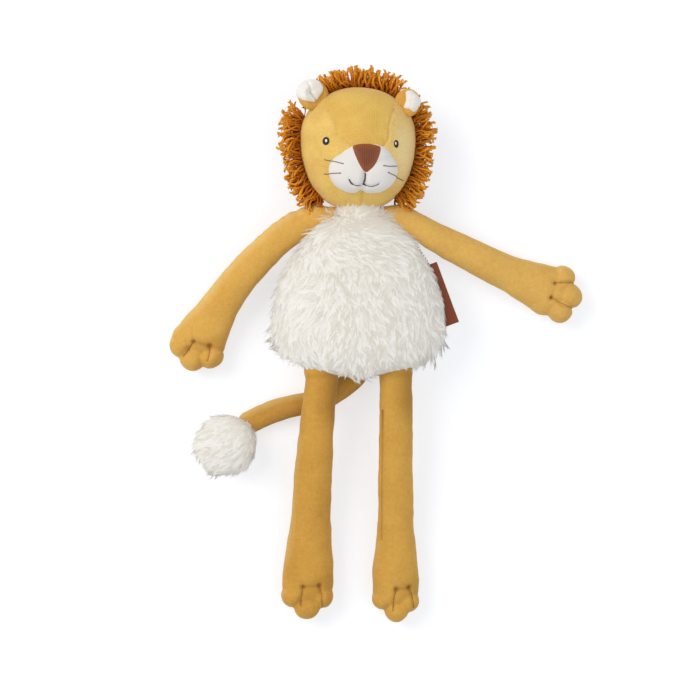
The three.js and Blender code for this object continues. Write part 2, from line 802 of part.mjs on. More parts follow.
function buildHead() {
  const part = partAt(doll, 0, neckBallY, bodySeamHeight);
  const outer = onFloor(headForm(0, bodySides)).subtract(neckSocket());
  const front = halfSpace(headSeamHeight + seatGap / 2, true);
  const back = halfSpace(headSeamHeight - seatGap / 2, false);
  const inner = headForm(velourWall, bodyFillingSides);
  addPiece(part, 'head_face_panel', outer.intersect(front).subtract(inner), 'faceVelour');
  addPiece(part, 'head_back_panel', outer.intersect(back).subtract(inner), 'velour');
  const filling = headForm(velourWall + seatGap, bodyFillingSides).subtract(neckSocket());
  addPiece(part, 'head_filling', filling, 'filling');
  addPiece(part, 'muzzle', muzzleForm(0).subtract(headForm(-seatGap, bodySides)), 'muzzleFleece');
  addPiece(part, 'nose', facePatch(noseShape(), noseX, noseTopY), 'noseThread');
  addPiece(part, 'eye_left', facePatch(eyeShape(eyeWidth), eyeLeftX, eyeY), 'eyeThread');
  const eyeRight = facePatch(eyeShape(eyeWidth * eyeRightShare), eyeRightX, eyeY - eyeRightDrop);
  addPiece(part, 'eye_right', eyeRight, 'eyeThread');
  maneStretches.forEach((stretch, k) => addPiece(part, stretch.name, maneStretch(stretch, k * 100), 'yarn'));
  for (const [side, ear, inward] of [['left', earLeft, 1], ['right', earRight, -1]]) {
    const earPart = partAt(part, ear.x + inward * earSeamInset, ear.y - earSeamInset, earHeight);
    const { back: earBack, lining } = earSolids(ear);
    addPiece(earPart, 'ear_' + side + '_back', earBack, 'velour');
    addPiece(earPart, 'ear_' + side + '_lining', lining, 'muzzleFleece');
  }
}

function buildLabel() {
  const root = labelRoot();
  const part = partAt(doll, root.x, root.y, root.z);
  addPiece(part, 'side_label', labelSolid(), 'label');
}

function buildRattle() {
  const { cup, cap, beads } = rattleSolids();
  addPiece(doll, 'rattle_case_cup', cup, 'capsule');
  addPiece(doll, 'rattle_case_cap', cap, 'capsule');
  const part = partAt(doll, 0, capsuleY, capsuleHeight);
  beads.forEach((bead, k) => addPiece(part, 'rattle_bead_' + (k + 1), bead, 'bead'));
}

doll.userData.pivot = new THREE.Vector3();
buildBody();
buildRattle();
buildHead();
buildLimbs();
buildTail();
buildLabel();

export default doll;
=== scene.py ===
import math

import bpy
import numpy as np
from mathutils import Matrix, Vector, noise
from mathutils.bvhtree import BVHTree
from mathutils.kdtree import KDTree


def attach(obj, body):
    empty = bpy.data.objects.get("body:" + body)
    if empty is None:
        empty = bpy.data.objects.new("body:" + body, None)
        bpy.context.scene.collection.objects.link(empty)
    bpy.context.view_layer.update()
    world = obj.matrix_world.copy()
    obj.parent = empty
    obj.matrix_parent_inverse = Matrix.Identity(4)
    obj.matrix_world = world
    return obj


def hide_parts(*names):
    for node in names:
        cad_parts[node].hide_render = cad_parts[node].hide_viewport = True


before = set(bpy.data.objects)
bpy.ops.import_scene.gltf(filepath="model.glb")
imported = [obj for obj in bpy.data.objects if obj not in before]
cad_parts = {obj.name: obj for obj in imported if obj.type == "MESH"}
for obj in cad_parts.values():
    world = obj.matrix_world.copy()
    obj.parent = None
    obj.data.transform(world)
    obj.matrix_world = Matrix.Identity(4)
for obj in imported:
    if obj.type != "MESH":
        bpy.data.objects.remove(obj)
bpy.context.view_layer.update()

# Shapes are worked out in millimetres and scaled once, when a mesh is made. Places are measured
# from the middle of the back. Angles are in degrees, from +X towards +Y.
mm = 0.001


# Materials

def linear(hexColour):
    parts = [int(hexColour[k : k + 2], 16) / 255 for k in (1, 3, 5)]
    return [c / 12.92 if c <= 0.04045 else ((c + 0.055) / 1.055) ** 2.4 for c in parts] + [1]


# Adds a node with its settings and links
def addNode(tree, kind, inputs=None, **settings):
    node = tree.nodes.new(kind)
    for key, value in settings.items():
        setattr(node, key, value)
    for key, value in (inputs or {}).items():
        if isinstance(value, bpy.types.NodeSocket):
            tree.links.new(value, node.inputs[key])
        else:
            node.inputs[key].default_value = value
    return node


# One pattern: grain or ribs of a size in mm, or a value that the mesh carries
def patternAt(tree, place, pattern):
    if "grain" in pattern:
        scale = 1 / (pattern["grain"] * mm)
        inputs = {"Vector": place, "Scale": scale, "Detail": pattern["detail"]}
        value = addNode(tree, "ShaderNodeTexNoise", inputs).outputs["Fac"]
    elif "ribs" in pattern:
        waveAtScaleOne = 0.31416
        scale = waveAtScaleOne / (pattern["ribs"] * mm)
        inputs = {"Vector": place, "Rotation": (0, 0, -math.radians(pattern["heading"]))}
        turned = addNode(tree, "ShaderNodeMapping", inputs).outputs["Vector"]
        inputs = {"Vector": turned, "Scale": scale, "Distortion": 1.4, "Detail": 2}
        value = addNode(tree, "ShaderNodeTexWave", inputs).outputs["Fac"]
    else:
        value = addNode(tree, "ShaderNodeAttribute", attribute_name=pattern["value"]).outputs["Fac"]
    if "power" in pattern:
        inputs = {0: value, 1: pattern["power"]}
        value = addNode(tree, "ShaderNodeMath", inputs, operation="POWER").outputs[0]
    if "low" in pattern:
        inputs = {"Value": value, "From Min": pattern["low"], "From Max": pattern["high"]}
        value = addNode(tree, "ShaderNodeMapRange", inputs).outputs["Result"]
    return value


# A sum of terms, each one a share of its patterns multiplied
def summed(tree, place, terms):
    total = None
    for share, *patterns in terms:
        term = share
        for pattern in patterns:
            inputs = {0: patternAt(tree, place, pattern), 1: term}
            term = addNode(tree, "ShaderNodeMath", inputs, operation="MULTIPLY").outputs[0]
        if total is not None:
            term = addNode(tree, "ShaderNodeMath", {0: total, 1: term}, operation="ADD").outputs[0]
        total = term
    return total


# A base colour with layers of others over it, and relief that catches the light
def newMaterial(name, surface, colour, layers, relief=None, depth=0.0, strength=1.0):
    material = bpy.data.materials.new(name)
    material.use_nodes = True
    tree = material.node_tree
    shader = tree.nodes["Principled BSDF"]
    for socket, value in {"Sheen Roughness": 0.4, **surface}.items():
        shader.inputs[socket].default_value = linear(value) if isinstance(value, str) else value
    place = addNode(tree, "ShaderNodeTexCoord").outputs["Object"]
    base = linear(colour)
    for layerColour, *terms in layers:
        inputs = {0: summed(tree, place, terms), 6: base, 7: linear(layerColour)}
        base = addNode(tree, "ShaderNodeMix", inputs, data_type="RGBA").outputs[2]
    tree.links.new(base, shader.inputs["Base Color"])
    if relief:
        height = summed(tree, place, relief)
        inputs = {"Height": height, "Distance": depth * mm, "Strength": strength}
        bump = addNode(tree, "ShaderNodeBump", inputs)
        tree.links.new(bump.outputs["Normal"], shader.inputs["Normal"])
    return material


velour = {
    "colours": ("#d8a850", "#bd8634", "#e6bd6c"),
    # Painted light on the side that faces up and left, and painted shade on the far side and in
    # dents
    "paintedLightColour": "#f0d28c",
    "paintedShadeColour": "#8f5f22",
    "stitchColour": "#94601f",
    "seamColour": "#efd48c",
    "surface": {
        "Roughness": 0.92, "Specular IOR Level": 0.12, "Sheen Weight": 0.5, "Sheen Tint": "#ffe9b8",
    },
    "patches": {"grain": 16, "detail": 3, "low": 0.35, "high": 0.7},
    "tufts": {"grain": 2.2, "detail": 4, "low": 0.3, "high": 0.75},
    "fibres": {"grain": 0.8, "detail": 3, "low": 0.3, "high": 0.7},
    "relief": 0.14,
}


# Velour: a knitted pile over fine ribs, with painted light on its up-left side and painted shade in
# its dents
def velourMaterial(name, colours, pitch=1.2, heading=0):
    colour, dark, light = colours
    ribs = {"ribs": pitch, "heading": heading}
    layers = [
        (dark, (0.4, velour["patches"])),
        (light, (0.4, velour["tufts"])),
        (dark, (0.16, ribs)),
        # Painted light: paler on the side that faces up and left
        (velour["paintedLightColour"], (0.6, {"value": "napAndPaintedShading", "low": 0.4, "high": 1})),
        # Painted shade: darker on the far side, in dents and dimples, along the leg seam and on the
        # legs' tops
        (velour["paintedShadeColour"], (0.85, {"value": "napAndPaintedShading", "low": -0.6, "high": -1.8})),
        (dark, (0.3, velour["fibres"])),
    ]
    relief = [(0.35, ribs), (1, velour["fibres"])]
    return newMaterial(name, velour["surface"], colour, layers, relief, velour["relief"], 0.7)


# Knitted fleece with a fine even nap, for the muzzle, ear linings and the back of the body
def fleeceMaterial(name, colour, dark):
    surface = {"Roughness": 0.95, "Specular IOR Level": 0.1, "Sheen Weight": 0.3}
    napAndPaintedShading = {"grain": 0.55, "detail": 4}
    cloud = {"grain": 7, "detail": 3, "low": 0.4, "high": 0.75}
    layers = [(dark, (0.3, napAndPaintedShading), (0.35, cloud))]
    return newMaterial(name, surface, colour, layers, [(1, napAndPaintedShading)], 0.2, 0.8)


# Satin stitch: threads laid side by side, so fine ribs with a slight gloss. Its threads are
# 0.4 mm wide, too fine to show, so the ribs are drawn as bundles of them.
def satinMaterial(name, colour, edgeColour, pitch):
    surface = {
        "Roughness": 0.55, "Specular IOR Level": 0.25,
        "Sheen Weight": 0.05, "Sheen Tint": edgeColour,
    }
    ribs = {"ribs": pitch, "heading": 0}
    layers = [
        (edgeColour, (1, {"value": "edge"})),
        (edgeColour, (0.5, ribs)),
        ("#4c2314", (0.25, {"grain": 0.6, "detail": 3, "low": 0.55, "high": 0.8})),
    ]
    return newMaterial(name, surface, colour, layers, [(1, ribs)], 0.16, 0.9)


# Sewing thread, plain and slightly glossy with its twist as relief
def threadMaterial(name, colour):
    twist = {"grain": 0.3, "detail": 2}
    surface = {"Roughness": 0.6, "Specular IOR Level": 0.3}
    return newMaterial(name, surface, colour, [("#8a7768", (0.4, twist))], [(1, twist)], 0.1)


# Shapes

def mixed(first, second, share):
    return first + (second - first) * share


def unit(vector):
    return vector / np.linalg.norm(vector)


def smoothStep(share, low, high):
    t = np.clip((np.asarray(share, float) - low) / (high - low), 0, 1)
    return t * t * (3 - 2 * t)


# A soft bump, 1 in its middle
def bell(distance, width):
    return np.exp(-((distance / width) ** 2))


def meshObject(name, points, faces, material):
    mesh = bpy.data.meshes.new(name)
    mesh.from_pydata((np.asarray(points, float) * mm).tolist(), [], faces)
    mesh.materials.append(material)
    mesh.shade_smooth()
    made = bpy.data.objects.new(name, mesh)
    bpy.context.scene.collection.objects.link(made)
    return made


def pointsOf(piece):
    points = np.empty(len(piece.data.vertices) * 3)
    piece.data.vertices.foreach_get("co", points)
    return points.reshape(-1, 3) / mm


def normalsOf(piece):
    normals = np.empty(len(piece.data.vertices) * 3)
    piece.data.vertices.foreach_get("normal", normals)
    return normals.reshape(-1, 3)


def setPoints(piece, points):
    piece.data.vertices.foreach_set("co", (points * mm).ravel())
    piece.data.update()


def giveValues(piece, name, values, kind="FLOAT"):
    made = piece.data.attributes.new(name, kind, "POINT")
    made.data.foreach_set("vector" if kind == "FLOAT_VECTOR" else "value", np.ravel(values))


# Closes rings of points into one body, with a pole at each end or a tip at the last one
def closedRings(rings, tip=None):
    count = len(rings[0])
    last = np.mean(rings[-1], 0) if tip is None else tip
    points = np.concatenate(list(rings) + [[np.mean(rings[0], 0)], [last]])
    faces = []
    for k in range(len(rings) - 1):
        for j in range(count):
            a = k * count + j
            b = k * count + (j + 1) % count
            faces.append((a, b, b + count, a + count))
    lastRing = (len(rings) - 1) * count
    for j in range(count):
        after = (j + 1) % count
        faces.append((len(points) - 2, after, j))
        faces.append((len(points) - 1, lastRing + j, lastRing + after))
    return points, outwards(points, faces)


def outwards(points, faces):
    fans = [(f[0], f[k], f[k + 1]) for f in faces for k in range(1, len(f) - 1)]
    corners = points[np.array(fans)]
    volume = np.einsum("ij,ij->i", corners[:, 0], np.cross(corners[:, 1], corners[:, 2])).sum()
    return faces if volume > 0 else [tuple(reversed(f)) for f in faces]


def joined(parts):
    points, faces, start = [], [], 0
    for partPoints, partFaces in parts:
        points.append(partPoints)
        faces += [tuple(k + start for k in f) for f in partFaces]
        start += len(partPoints)
    return np.concatenate(points), faces


def circle(count):
    turn = np.linspace(0, 2 * math.pi, count, endpoint=False)
    return np.stack([np.cos(turn), np.sin(turn)], 1)


def ellipse(x, y, width, height, count):
    return circle(count) * (width / 2, height / 2) + (x, y)


def ball(centre, radii, around=32):
    rings = []
    for k in range(1, around // 2):
        angle = math.pi * k / (around // 2)
        ring = np.column_stack([circle(around) * math.sin(angle), np.full(around, math.cos(angle))])
        rings.append(ring * radii + centre)
    return closedRings(rings)


# Melts overlapping bodies into one skin with even faces
def fusedSkin(name, parts, voxel, rounds, material):
    points, faces = joined(parts)
    made = meshObject(name, points, faces, material)
    remesh = made.modifiers.new("skin", "REMESH")
    remesh.mode = "VOXEL"
    remesh.voxel_size = voxel * mm
    relax = made.modifiers.new("relax", "SMOOTH")
    relax.factor = 0.5
    relax.iterations = rounds
    return madePlain(made, material)


def madePlain(piece, material):
    shown = piece.evaluated_get(bpy.context.evaluated_depsgraph_get())
    mesh = bpy.data.meshes.new_from_object(shown)
    piece.modifiers.clear()
    piece.data = mesh
    mesh.materials.clear()
    mesh.materials.append(material)
    mesh.shade_smooth()
    return piece


# Distance from each point to a line in the X and Y plane, and how far along the nearest place is
def lineDistance(points, line):
    best = np.full(len(points), 1e9)
    along = np.zeros(len(points))
    spans = [math.dist(a, b) for a, b in zip(line, line[1:])]
    for k, (a, b) in enumerate(zip(line, line[1:])):
        start, step = np.array(a), np.array(b) - np.array(a)
        t = np.clip((points[:, :2] - start) @ step / (step @ step), 0, 1)
        distance = np.linalg.norm(points[:, :2] - start - t[:, None] * step, axis=1)
        nearer = distance < best
        best[nearer] = distance[nearer]
        along[nearer] = (sum(spans[:k]) + t[nearer] * spans[k]) / sum(spans)
    return best, along


# Even steps along a line
def evenly(line, step):
    spans = [math.dist(a, b) for a, b in zip(line, line[1:])]
    total = sum(spans)
    count = max(2, round(total / step) + 1)
    ends = np.concatenate([[0], np.cumsum(spans)])
    at = np.linspace(0, total, count)
    line = np.array(line, float)
    return np.stack([np.interp(at, ends, line[:, k]) for k in range(line.shape[1])], 1)


# A smooth curve through a few points
def curved(line, steps=8, closed=False):
    line = [np.array(p, float) for p in line]
    padded = [line[-1], *line, line[0], line[1]] if closed else [line[0], *line, line[-1]]
    made = []
    for a, b, c, d in zip(padded, padded[1:], padded[2:], padded[3:]):
        for k in range(steps):
            t = k / steps
            square = (2 * a - 5 * b + 4 * c - d) * t**2
            cube = (3 * b - a - 3 * c + d) * t**3
            made.append((2 * b + (c - a) * t + square + cube) / 2)
    return np.array(made if closed else made + [line[-1]])


def surfaceOf(*pieces):
    parts = [(pointsOf(p), [tuple(f.vertices) for f in p.data.polygons]) for p in pieces]
    points, faces = joined(parts)
    return BVHTree.FromPolygons([Vector(p) for p in points], faces)


# Lays a flat line on a surface seen from above, so much above it
def laidOn(surface, line, lift):
    made = []
    for x, y in line:
        hit, normal, _, _ = surface.ray_cast(Vector((x, y, 200)), Vector((0, 0, -1)))
        if hit is not None:
            made.append(np.array(hit + normal * lift))
    return np.array(made)


# A round thread along a line, thinner at its ends
def tube(line, radius, around=8):
    rings = []
    for k, point in enumerate(line):
        direction = Vector(line[min(k + 1, len(line) - 1)] - line[max(k - 1, 0)]).normalized()
        upright = abs(direction.z) > 0.95
        side = direction.orthogonal() if upright else direction.cross(Vector((0, 0, 1)))
        side.normalize()
        up = side.cross(direction)
        size = radius * (0.6 if k in (0, len(line) - 1) else 1)
        rings.append(point + size * circle(around) @ np.array([side, up]))
    return closedRings(rings)


# The front or back half of a stuffed form that lies on its back, its flat side in the seam
def lyingHalf(stations, outline, centreX, seamHeight, front, around):
    rings = []
    chord = np.linspace(-1, 1, around // 4)[1:-1]
    angle = np.linspace(0, math.pi, around)
    across, rise = np.cos(angle), np.sin(angle)
    for y in stations:
        halfWidth, up, down = outline(y)
        if front:
            x, z = halfWidth * across, seamHeight + up * rise
        else:
            x = halfWidth * np.sign(across) * np.abs(across) ** 0.8
            z = np.maximum(seamHeight - down * rise**0.8, 0)
        x = centreX + np.concatenate([x, halfWidth * chord])
        z = np.concatenate([z, np.full(len(chord), seamHeight)])
        rings.append(np.column_stack([x, np.full(len(x), y), z]))
    return closedRings(rings)


# Places from low to high, closer together towards both ends
def steps(low, middle, high, count):
    angle = np.linspace(math.radians(3), math.pi / 2, count)
    lower = middle - (middle - low) * np.cos(angle)
    upper = middle + (high - middle) * np.cos(angle[::-1][1:])
    return np.concatenate([lower, upper])


def finishTrim(piece, body, slot, *nodes):
    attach(piece, body)
    if nodes:
        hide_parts(*nodes)


def finishSoft(piece, body, slot, fill, *nodes):
    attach(piece, body)
    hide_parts(*nodes)


# Loose pile lets the light through to the cloth, which shades the rest
def letThrough(piece):
    piece.visible_shadow = False
    piece.visible_diffuse = False


# Strands: a mesh of points that carry where each strand aims and how long it is

strandLength = 10


def strandTree(name, variants, material, lean=None):
    tree = bpy.data.node_groups.new(name, "GeometryNodeTree")
    for title, kind in (("Geometry", "Geometry"), ("Seed", "Int"), ("Roll", "Float")):
        tree.interface.new_socket(title, in_out="INPUT", socket_type=f"NodeSocket{kind}")
    tree.interface.new_socket("Geometry", in_out="OUTPUT", socket_type="NodeSocketGeometry")
    given = addNode(tree, "NodeGroupInput").outputs
    kinds = addNode(tree, "GeometryNodeJoinGeometry")
    for variant in reversed(variants):
        info = addNode(tree, "GeometryNodeObjectInfo", {"Object": variant, "As Instance": True})
        tree.links.new(info.outputs["Geometry"], kinds.inputs["Geometry"])
    carried = []
    for title in ("aim", "pile", "size"):
        inputs = {"Name": title}
        node = addNode(tree, "GeometryNodeInputNamedAttribute", inputs, data_type="FLOAT_VECTOR")
        carried.append(node.outputs[0])
    aim, pile, size = carried

    # +Z of a strand runs where it aims, and +X away from the cloth
    align = "FunctionNodeAlignRotationToVector"
    turned = addNode(tree, align, {"Vector": aim}, axis="Z").outputs[0]
    inputs = {"Rotation": turned, "Vector": pile}
    turned = addNode(tree, align, inputs, axis="X", pivot_axis="Z").outputs[0]
    inputs = {0: given["Roll"], 1: -1}
    back = addNode(tree, "ShaderNodeMath", inputs, operation="MULTIPLY").outputs[0]
    inputs = {2: back, 3: given["Roll"], 8: given["Seed"]}
    roll = addNode(tree, "FunctionNodeRandomValue", inputs, data_type="FLOAT").outputs[1]
    inputs = {"Axis": (0, 0, 1), "Angle": roll}
    roll = addNode(tree, "FunctionNodeAxisAngleToRotation", inputs).outputs[0]
    inputs = {"Rotation": turned, "Rotate By": roll}
    turned = addNode(tree, "FunctionNodeRotateRotation", inputs, rotation_space="LOCAL").outputs[0]
    inputs = {4: 0, 5: len(variants) - 1, 8: given["Seed"]}
    picked = addNode(tree, "FunctionNodeRandomValue", inputs, data_type="INT").outputs[2]
    inputs = {
        "Points": given["Geometry"],
        "Instance": kinds.outputs["Geometry"],
        "Pick Instance": True,
        "Instance Index": picked,
        "Rotation": turned,
        "Scale": size,
    }
    strands = addNode(tree, "GeometryNodeInstanceOnPoints", inputs).outputs["Instances"]
    real = addNode(tree, "GeometryNodeRealizeInstances", {"Geometry": strands}).outputs["Geometry"]
    if lean is not None:
        # Each hair is lit mostly as the cloth under it is, and as if it stood up a little
        own = addNode(tree, "GeometryNodeInputNormal").outputs["Normal"]
        inputs = {0: pile, 1: (0, 0, lean)}
        standing = addNode(tree, "ShaderNodeVectorMath", inputs, operation="ADD").outputs[0]
        inputs = {0: fur["evenness"], 4: own, 5: standing}
        both = addNode(tree, "ShaderNodeMix", inputs, data_type="VECTOR").outputs[1]
        soft = addNode(tree, "ShaderNodeVectorMath", {0: both}, operation="NORMALIZE").outputs[0]
        inputs = {"Mesh": real, "Custom Normal": soft}
        real = addNode(tree, "GeometryNodeSetMeshNormal", inputs, mode="FREE").outputs["Mesh"]
    dressed = addNode(tree, "GeometryNodeSetMaterial", {"Geometry": real, "Material": material})
    addNode(tree, "NodeGroupOutput", {"Geometry": dressed.outputs["Geometry"]})
    return tree


# Grows strands on places. Each place has a point, the cloth's normal, an aim, a length and a tone.
def grown(name, tree, places, normals, aims, lengths, tonesAndShade, material, seed, roll):
    carrier = meshObject(name, places, [], material)
    sizes = np.column_stack([np.ones((len(places), 2)), np.asarray(lengths) / strandLength])
    for title, vectors in (("pile", normals), ("aim", aims), ("size", sizes)):
        giveValues(carrier, title, vectors, "FLOAT_VECTOR")
    giveValues(carrier, "toneAndShade", tonesAndShade)
    grower = carrier.modifiers.new("strands", "NODES")
    grower.node_group = tree
    values = {"Seed": seed, "Roll": roll}
    for item in tree.interface.items_tree:
        if item.in_out == "INPUT" and item.name in values:
            grower[item.identifier] = values[item.name]
    return madePlain(carrier, material)


# One strand shape, standing on the origin along +Z
def strandShape(name, hairs, section, pointed, material):
    parts, shares = [], []
    for line, radii in hairs:
        rings = [centre + radius * section for centre, radius in zip(line, radii)]
        share = np.linspace(0, 1, len(line))
        if pointed:
            rings.pop()
            share = share[:-1]
        parts.append(closedRings(rings, line[-1] if pointed else None))
        shares.append(np.concatenate([np.repeat(share, len(section)), [0, 1]]))
    points, faces = joined(parts)
    made = meshObject(name, points, faces, material)
    giveValues(made, "share", np.concatenate(shares))
    bpy.context.scene.collection.objects.unlink(made)
    return made


# Spreads places evenly over the faces of a piece where it is allowed to
def placesOn(piece, count, seed, allowed):
    rng = np.random.default_rng(seed)
    piece.data.calc_loop_triangles()
    triangles = np.array([t.vertices for t in piece.data.loop_triangles])
    points, normals = pointsOf(piece), normalsOf(piece)
    corners = points[triangles]
    first, second = corners[:, 1] - corners[:, 0], corners[:, 2] - corners[:, 0]
    area = np.linalg.norm(np.cross(first, second), axis=1) * allowed(corners.mean(1))
    tries = count * 4
    picked = rng.choice(len(area), tries, p=area / area.sum())
    a, b = rng.random((2, tries, 1))
    over = a + b > 1
    a, b = np.where(over, 1 - a, a), np.where(over, 1 - b, b)
    shares = np.stack([1 - a - b, a, b], 1)
    ends = triangles[picked]
    places, directions = ((values[ends] * shares).sum(1) for values in (points, normals))
    closest = 0.72  # Of the gap that an even grid would have
    gap = math.sqrt((area.sum() / 2) / count) * closest
    tree = KDTree(len(places))
    for k, place in enumerate(places):
        tree.insert(place, k)
    tree.balance()
    kept = np.ones(len(places), bool)
    for k, place in enumerate(places):
        if kept[k]:
            for _, other, _ in tree.find_range(place, gap):
                if other > k:
                    kept[other] = False
    chosen = np.flatnonzero(kept)[:count]
    length = np.linalg.norm(directions[chosen], axis=1, keepdims=True)
    return places[chosen], directions[chosen] / length


# The part of a direction that lies in the cloth
def combed(flow, normals):
    return flow - normals * np.sum(flow * normals, 1, keepdims=True)


# Torso

torso = {
    "width": 109.6,
    "depth": 64,
    "waistY": -12,
    "lowerLength": 37,
    "upperLength": 70,
    "lowerRoundness": 2.4,
    "upperRoundness": 2,
    "backFullness": 0.25,
    "seamHeight": 27,
    "neckRadius": 15,
    "neckY": 56,
    "floorCut": 0.5,
    "skinInset": 0.8,
    "backInset": 0.4,
    "panelGap": 0.3,
    "fill": 0.85,
    "clumpDepth": 0.5,
    "clumpSize": 8,
    "stitchRow": (21.5, 35, 1.7),
    "stitchRadii": (0.5, 0.6, 0.5),
    "colours": ("#e6e2da", "#d6d1c6"),
    "backColours": ("#e6e0d4", "#cfc7b8"),
}


def torsoOutline(y, offset):
    half = torso["width"] / 2 - offset
    neck = torso["neckRadius"] - 1 - offset
    up = torso["depth"] - torso["seamHeight"] - offset
    down = torso["seamHeight"] + torso["floorCut"] - offset
    if y < torso["waistY"]:
        share = min((torso["waistY"] - y) / (torso["lowerLength"] - offset), 1)
        size = (1 - share ** torso["lowerRoundness"]) ** (1 / torso["lowerRoundness"])
        return half * size, up * size, down * size
    ballShare = (y - torso["neckY"]) / (torso["neckRadius"] - offset)
    ballSize = (torso["neckRadius"] - offset) * math.sqrt(max(0, 1 - ballShare**2))
    size = max(0, 1 - ((y - torso["waistY"]) / torso["upperLength"]) ** torso["upperRoundness"])
    if y > torso["waistY"] + torso["upperLength"] - 2:
        neck = ballSize
    return (
        max(neck + (half - neck) * size, ballSize),
        max(mixed(neck, up, size), ballSize),
        max(mixed(neck, down, size ** torso["backFullness"]), ballSize),
    )


def buildTorso(materials):
    seam = torso["seamHeight"]
    low, high = torso["waistY"] - torso["lowerLength"], torso["neckY"] + torso["neckRadius"]
    inset = torso["skinInset"]
    stations = steps(low + inset, torso["waistY"], high - inset, 46)
    half = lyingHalf(stations, lambda y: torsoOutline(y, inset), 0, seam, True, 110)
    skin = meshObject("torso_fur_cloth", *half, materials["fleece"])
    points, normals = pointsOf(skin), normalsOf(skin)
    stretch = np.array([1, 0.5, 1]) / torso["clumpSize"]
    tufts = np.array([noise.fractal(Vector(p * stretch), 0.8, 2, 2) for p in points])
    raised = smoothStep(points[:, 2], seam, seam + 4)
    setPoints(skin, points + normals * (tufts * torso["clumpDepth"] * raised)[:, None])
    finishSoft(skin, "torso", "body_fur", torso["fill"], "torso_fur_front", "torso_filling_front")

    half = lyingHalf(
        steps(low, torso["waistY"], high, 46), lambda y: torsoOutline(y, torso["backInset"]),
        0, seam - torso["panelGap"], False, 110,
    )
    back = meshObject("torso_back", *half, materials["backCloth"])
    finishSoft(back, "torso", "back_cloth", torso["fill"], "torso_back_panel", "torso_filling_back")
    return skin


# The side seam shows as a row of small dark stitches between the arm and the label
def buildSideSeam(materials):
    parts = []
    for y in np.arange(*torso["stitchRow"]):
        centre = np.array([torsoOutline(y, 0)[0] - 0.2, y, torso["seamHeight"] + 0.5])
        parts.append(ball(centre, np.array(torso["stitchRadii"]), 10))
    made = meshObject("side_seam_stitches", *joined(parts), materials["darkThread"])
    finishTrim(made, "torso", "eye_thread")


# Fur

fur = {
    "tipColour": "#efede8",
    "rootColour": "#dcd7cd",
    "shadeColour": "#cec7b9",
    "standing": 0.95,
    "evenness": 0.74,
    "hairRadius": 0.235,
    "hairsInLock": 7,
    "lockKinds": 6,
    "locks": 1480,
    "rootDepth": 0.5,
    "twist": 0.35,
    "topY": 55.8,
    "partingY": 52.8,
    "trimmed": [(36, 34), (47, 22), (56, -6)],
    "layers": [
        {"name": "torso_fur_under", "length": 7, "lift": 0.34},
        {"name": "torso_fur_middle", "length": 8, "lift": 0.4},
        {"name": "torso_fur_long", "length": 9, "lift": 0.46},
        {"name": "torso_fur_top", "length": 9.5, "lift": 0.52},
    ],
}


# Long acrylic pile: greyer at the roots, each lock with its own tone, and painted shade under the
# chin and over all but the left side
def furMaterial(name):
    surface = {"Roughness": 0.8, "Specular IOR Level": 0.12, "Sheen Weight": 0.2}
    layers = [
        (fur["tipColour"], (1, {"value": "share", "power": 0.7})),
        # Random tone of each lock, with painted shade under the chin and over all but the left side
        (fur["shadeColour"], (0.8, {"value": "toneAndShade", "low": 0.5, "high": 1})),
    ]
    return newMaterial(name, surface, fur["rootColour"], layers)


# A lock of pile: flat blades that lie down toward their tips and gather into one point
def furLocks(material):
    blade = np.array([(0.12, 1, 0), (0.12, -1, 0), (-0.4, 0, 0)])
    made = []
    for k in range(fur["lockKinds"]):
        rng = np.random.default_rng(40 + k)
        hairs = []
        sag, wave, phase = rng.uniform(1, 2.4), rng.uniform(0.4, 1), rng.uniform(0, 6)
        for _ in range(fur["hairsInLock"]):
            root = rng.normal(0, (0.25, 1))
            tip = rng.normal(0, (0.15, 0.4))
            reach = rng.uniform(0.7, 1.08)
            line = []
            for t in (0, 0.35, 0.7, 1):
                side = wave * (math.sin(4 * t + phase) - math.sin(phase))
                across = mixed(root, tip, t) + [-sag * t**2, side]
                line.append(np.array([*across, strandLength * t * reach]))
            radii = np.array([1, 0.95, 0.7, 0]) * fur["hairRadius"] * rng.uniform(0.8, 1.25)
            hairs.append((np.array(line), radii))
        made.append(strandShape(f"lock_{k}", hairs, blade, True, material))
    return made


# How near the pile is to the side seam
def seamNear(places, reach):
    return bell(places[:, 2] - torso["seamHeight"], reach)


# How near it is to the shoulders, where the arms come out of it
def shoulderNear(places, y, reach):
    return bell(places[:, 1] - y, reach) * smoothStep(np.abs(places[:, 0]), 12, 20)


# How the pile lies: down the body and off its sides, in swirls a few centimetres wide
def pileFlow(places, seed):
    made = []
    for x, y, z in places:
        wide = noise.noise(Vector((x / 19, y / 19, z / 30 + seed)))
        middle = noise.noise(Vector((x / 13 + 50, y / 13, seed)))
        small = noise.noise(Vector((x / 6, y / 6 + 30, seed)))
        angle = math.radians(-90) + 1.5 * wide + 0.8 * small + x * 0.011
        angle += 0.7 * smoothStep(y, 5, 30) * bell(x, 25)
        upwards = smoothStep(y, 51, 55.5) * (1 - 0.6 * smoothStep(abs(x), 12, 17))
        shoulder = bell(y - 47, 8) * smoothStep(abs(x), 9, 18)
        outward = mixed(math.cos(angle), math.copysign(0.8, x), shoulder)
        rim = bell(z - torso["seamHeight"], 9) * smoothStep(abs(x), 28, 42)
        outward += math.copysign(0.55 if x < 0 else 0.3, x) * rim * smoothStep(-y, -8, 12)
        downward = mixed(math.sin(angle), -0.6, shoulder)
        flow = (mixed(outward, 0.1 * middle, upwards), mixed(downward, 0.9, upwards), 0.3 * middle)
        made.append(flow)
    return np.array(made, float)


# The pile grows denser at the side seam and the shoulders
def furDensity(points):
    x, y, z = points.T
    lowest = torso["seamHeight"] + 0.3 + 2.5 * smoothStep(-y, 38, 47)
    rim = seamNear(points, 8) * smoothStep(-y, -5, 15)
    shoulder = shoulderNear(points, 45, 7)
    return (z > lowest) * (y < fur["topY"]) * (1 + 1.2 * rim + 1.5 * shoulder)


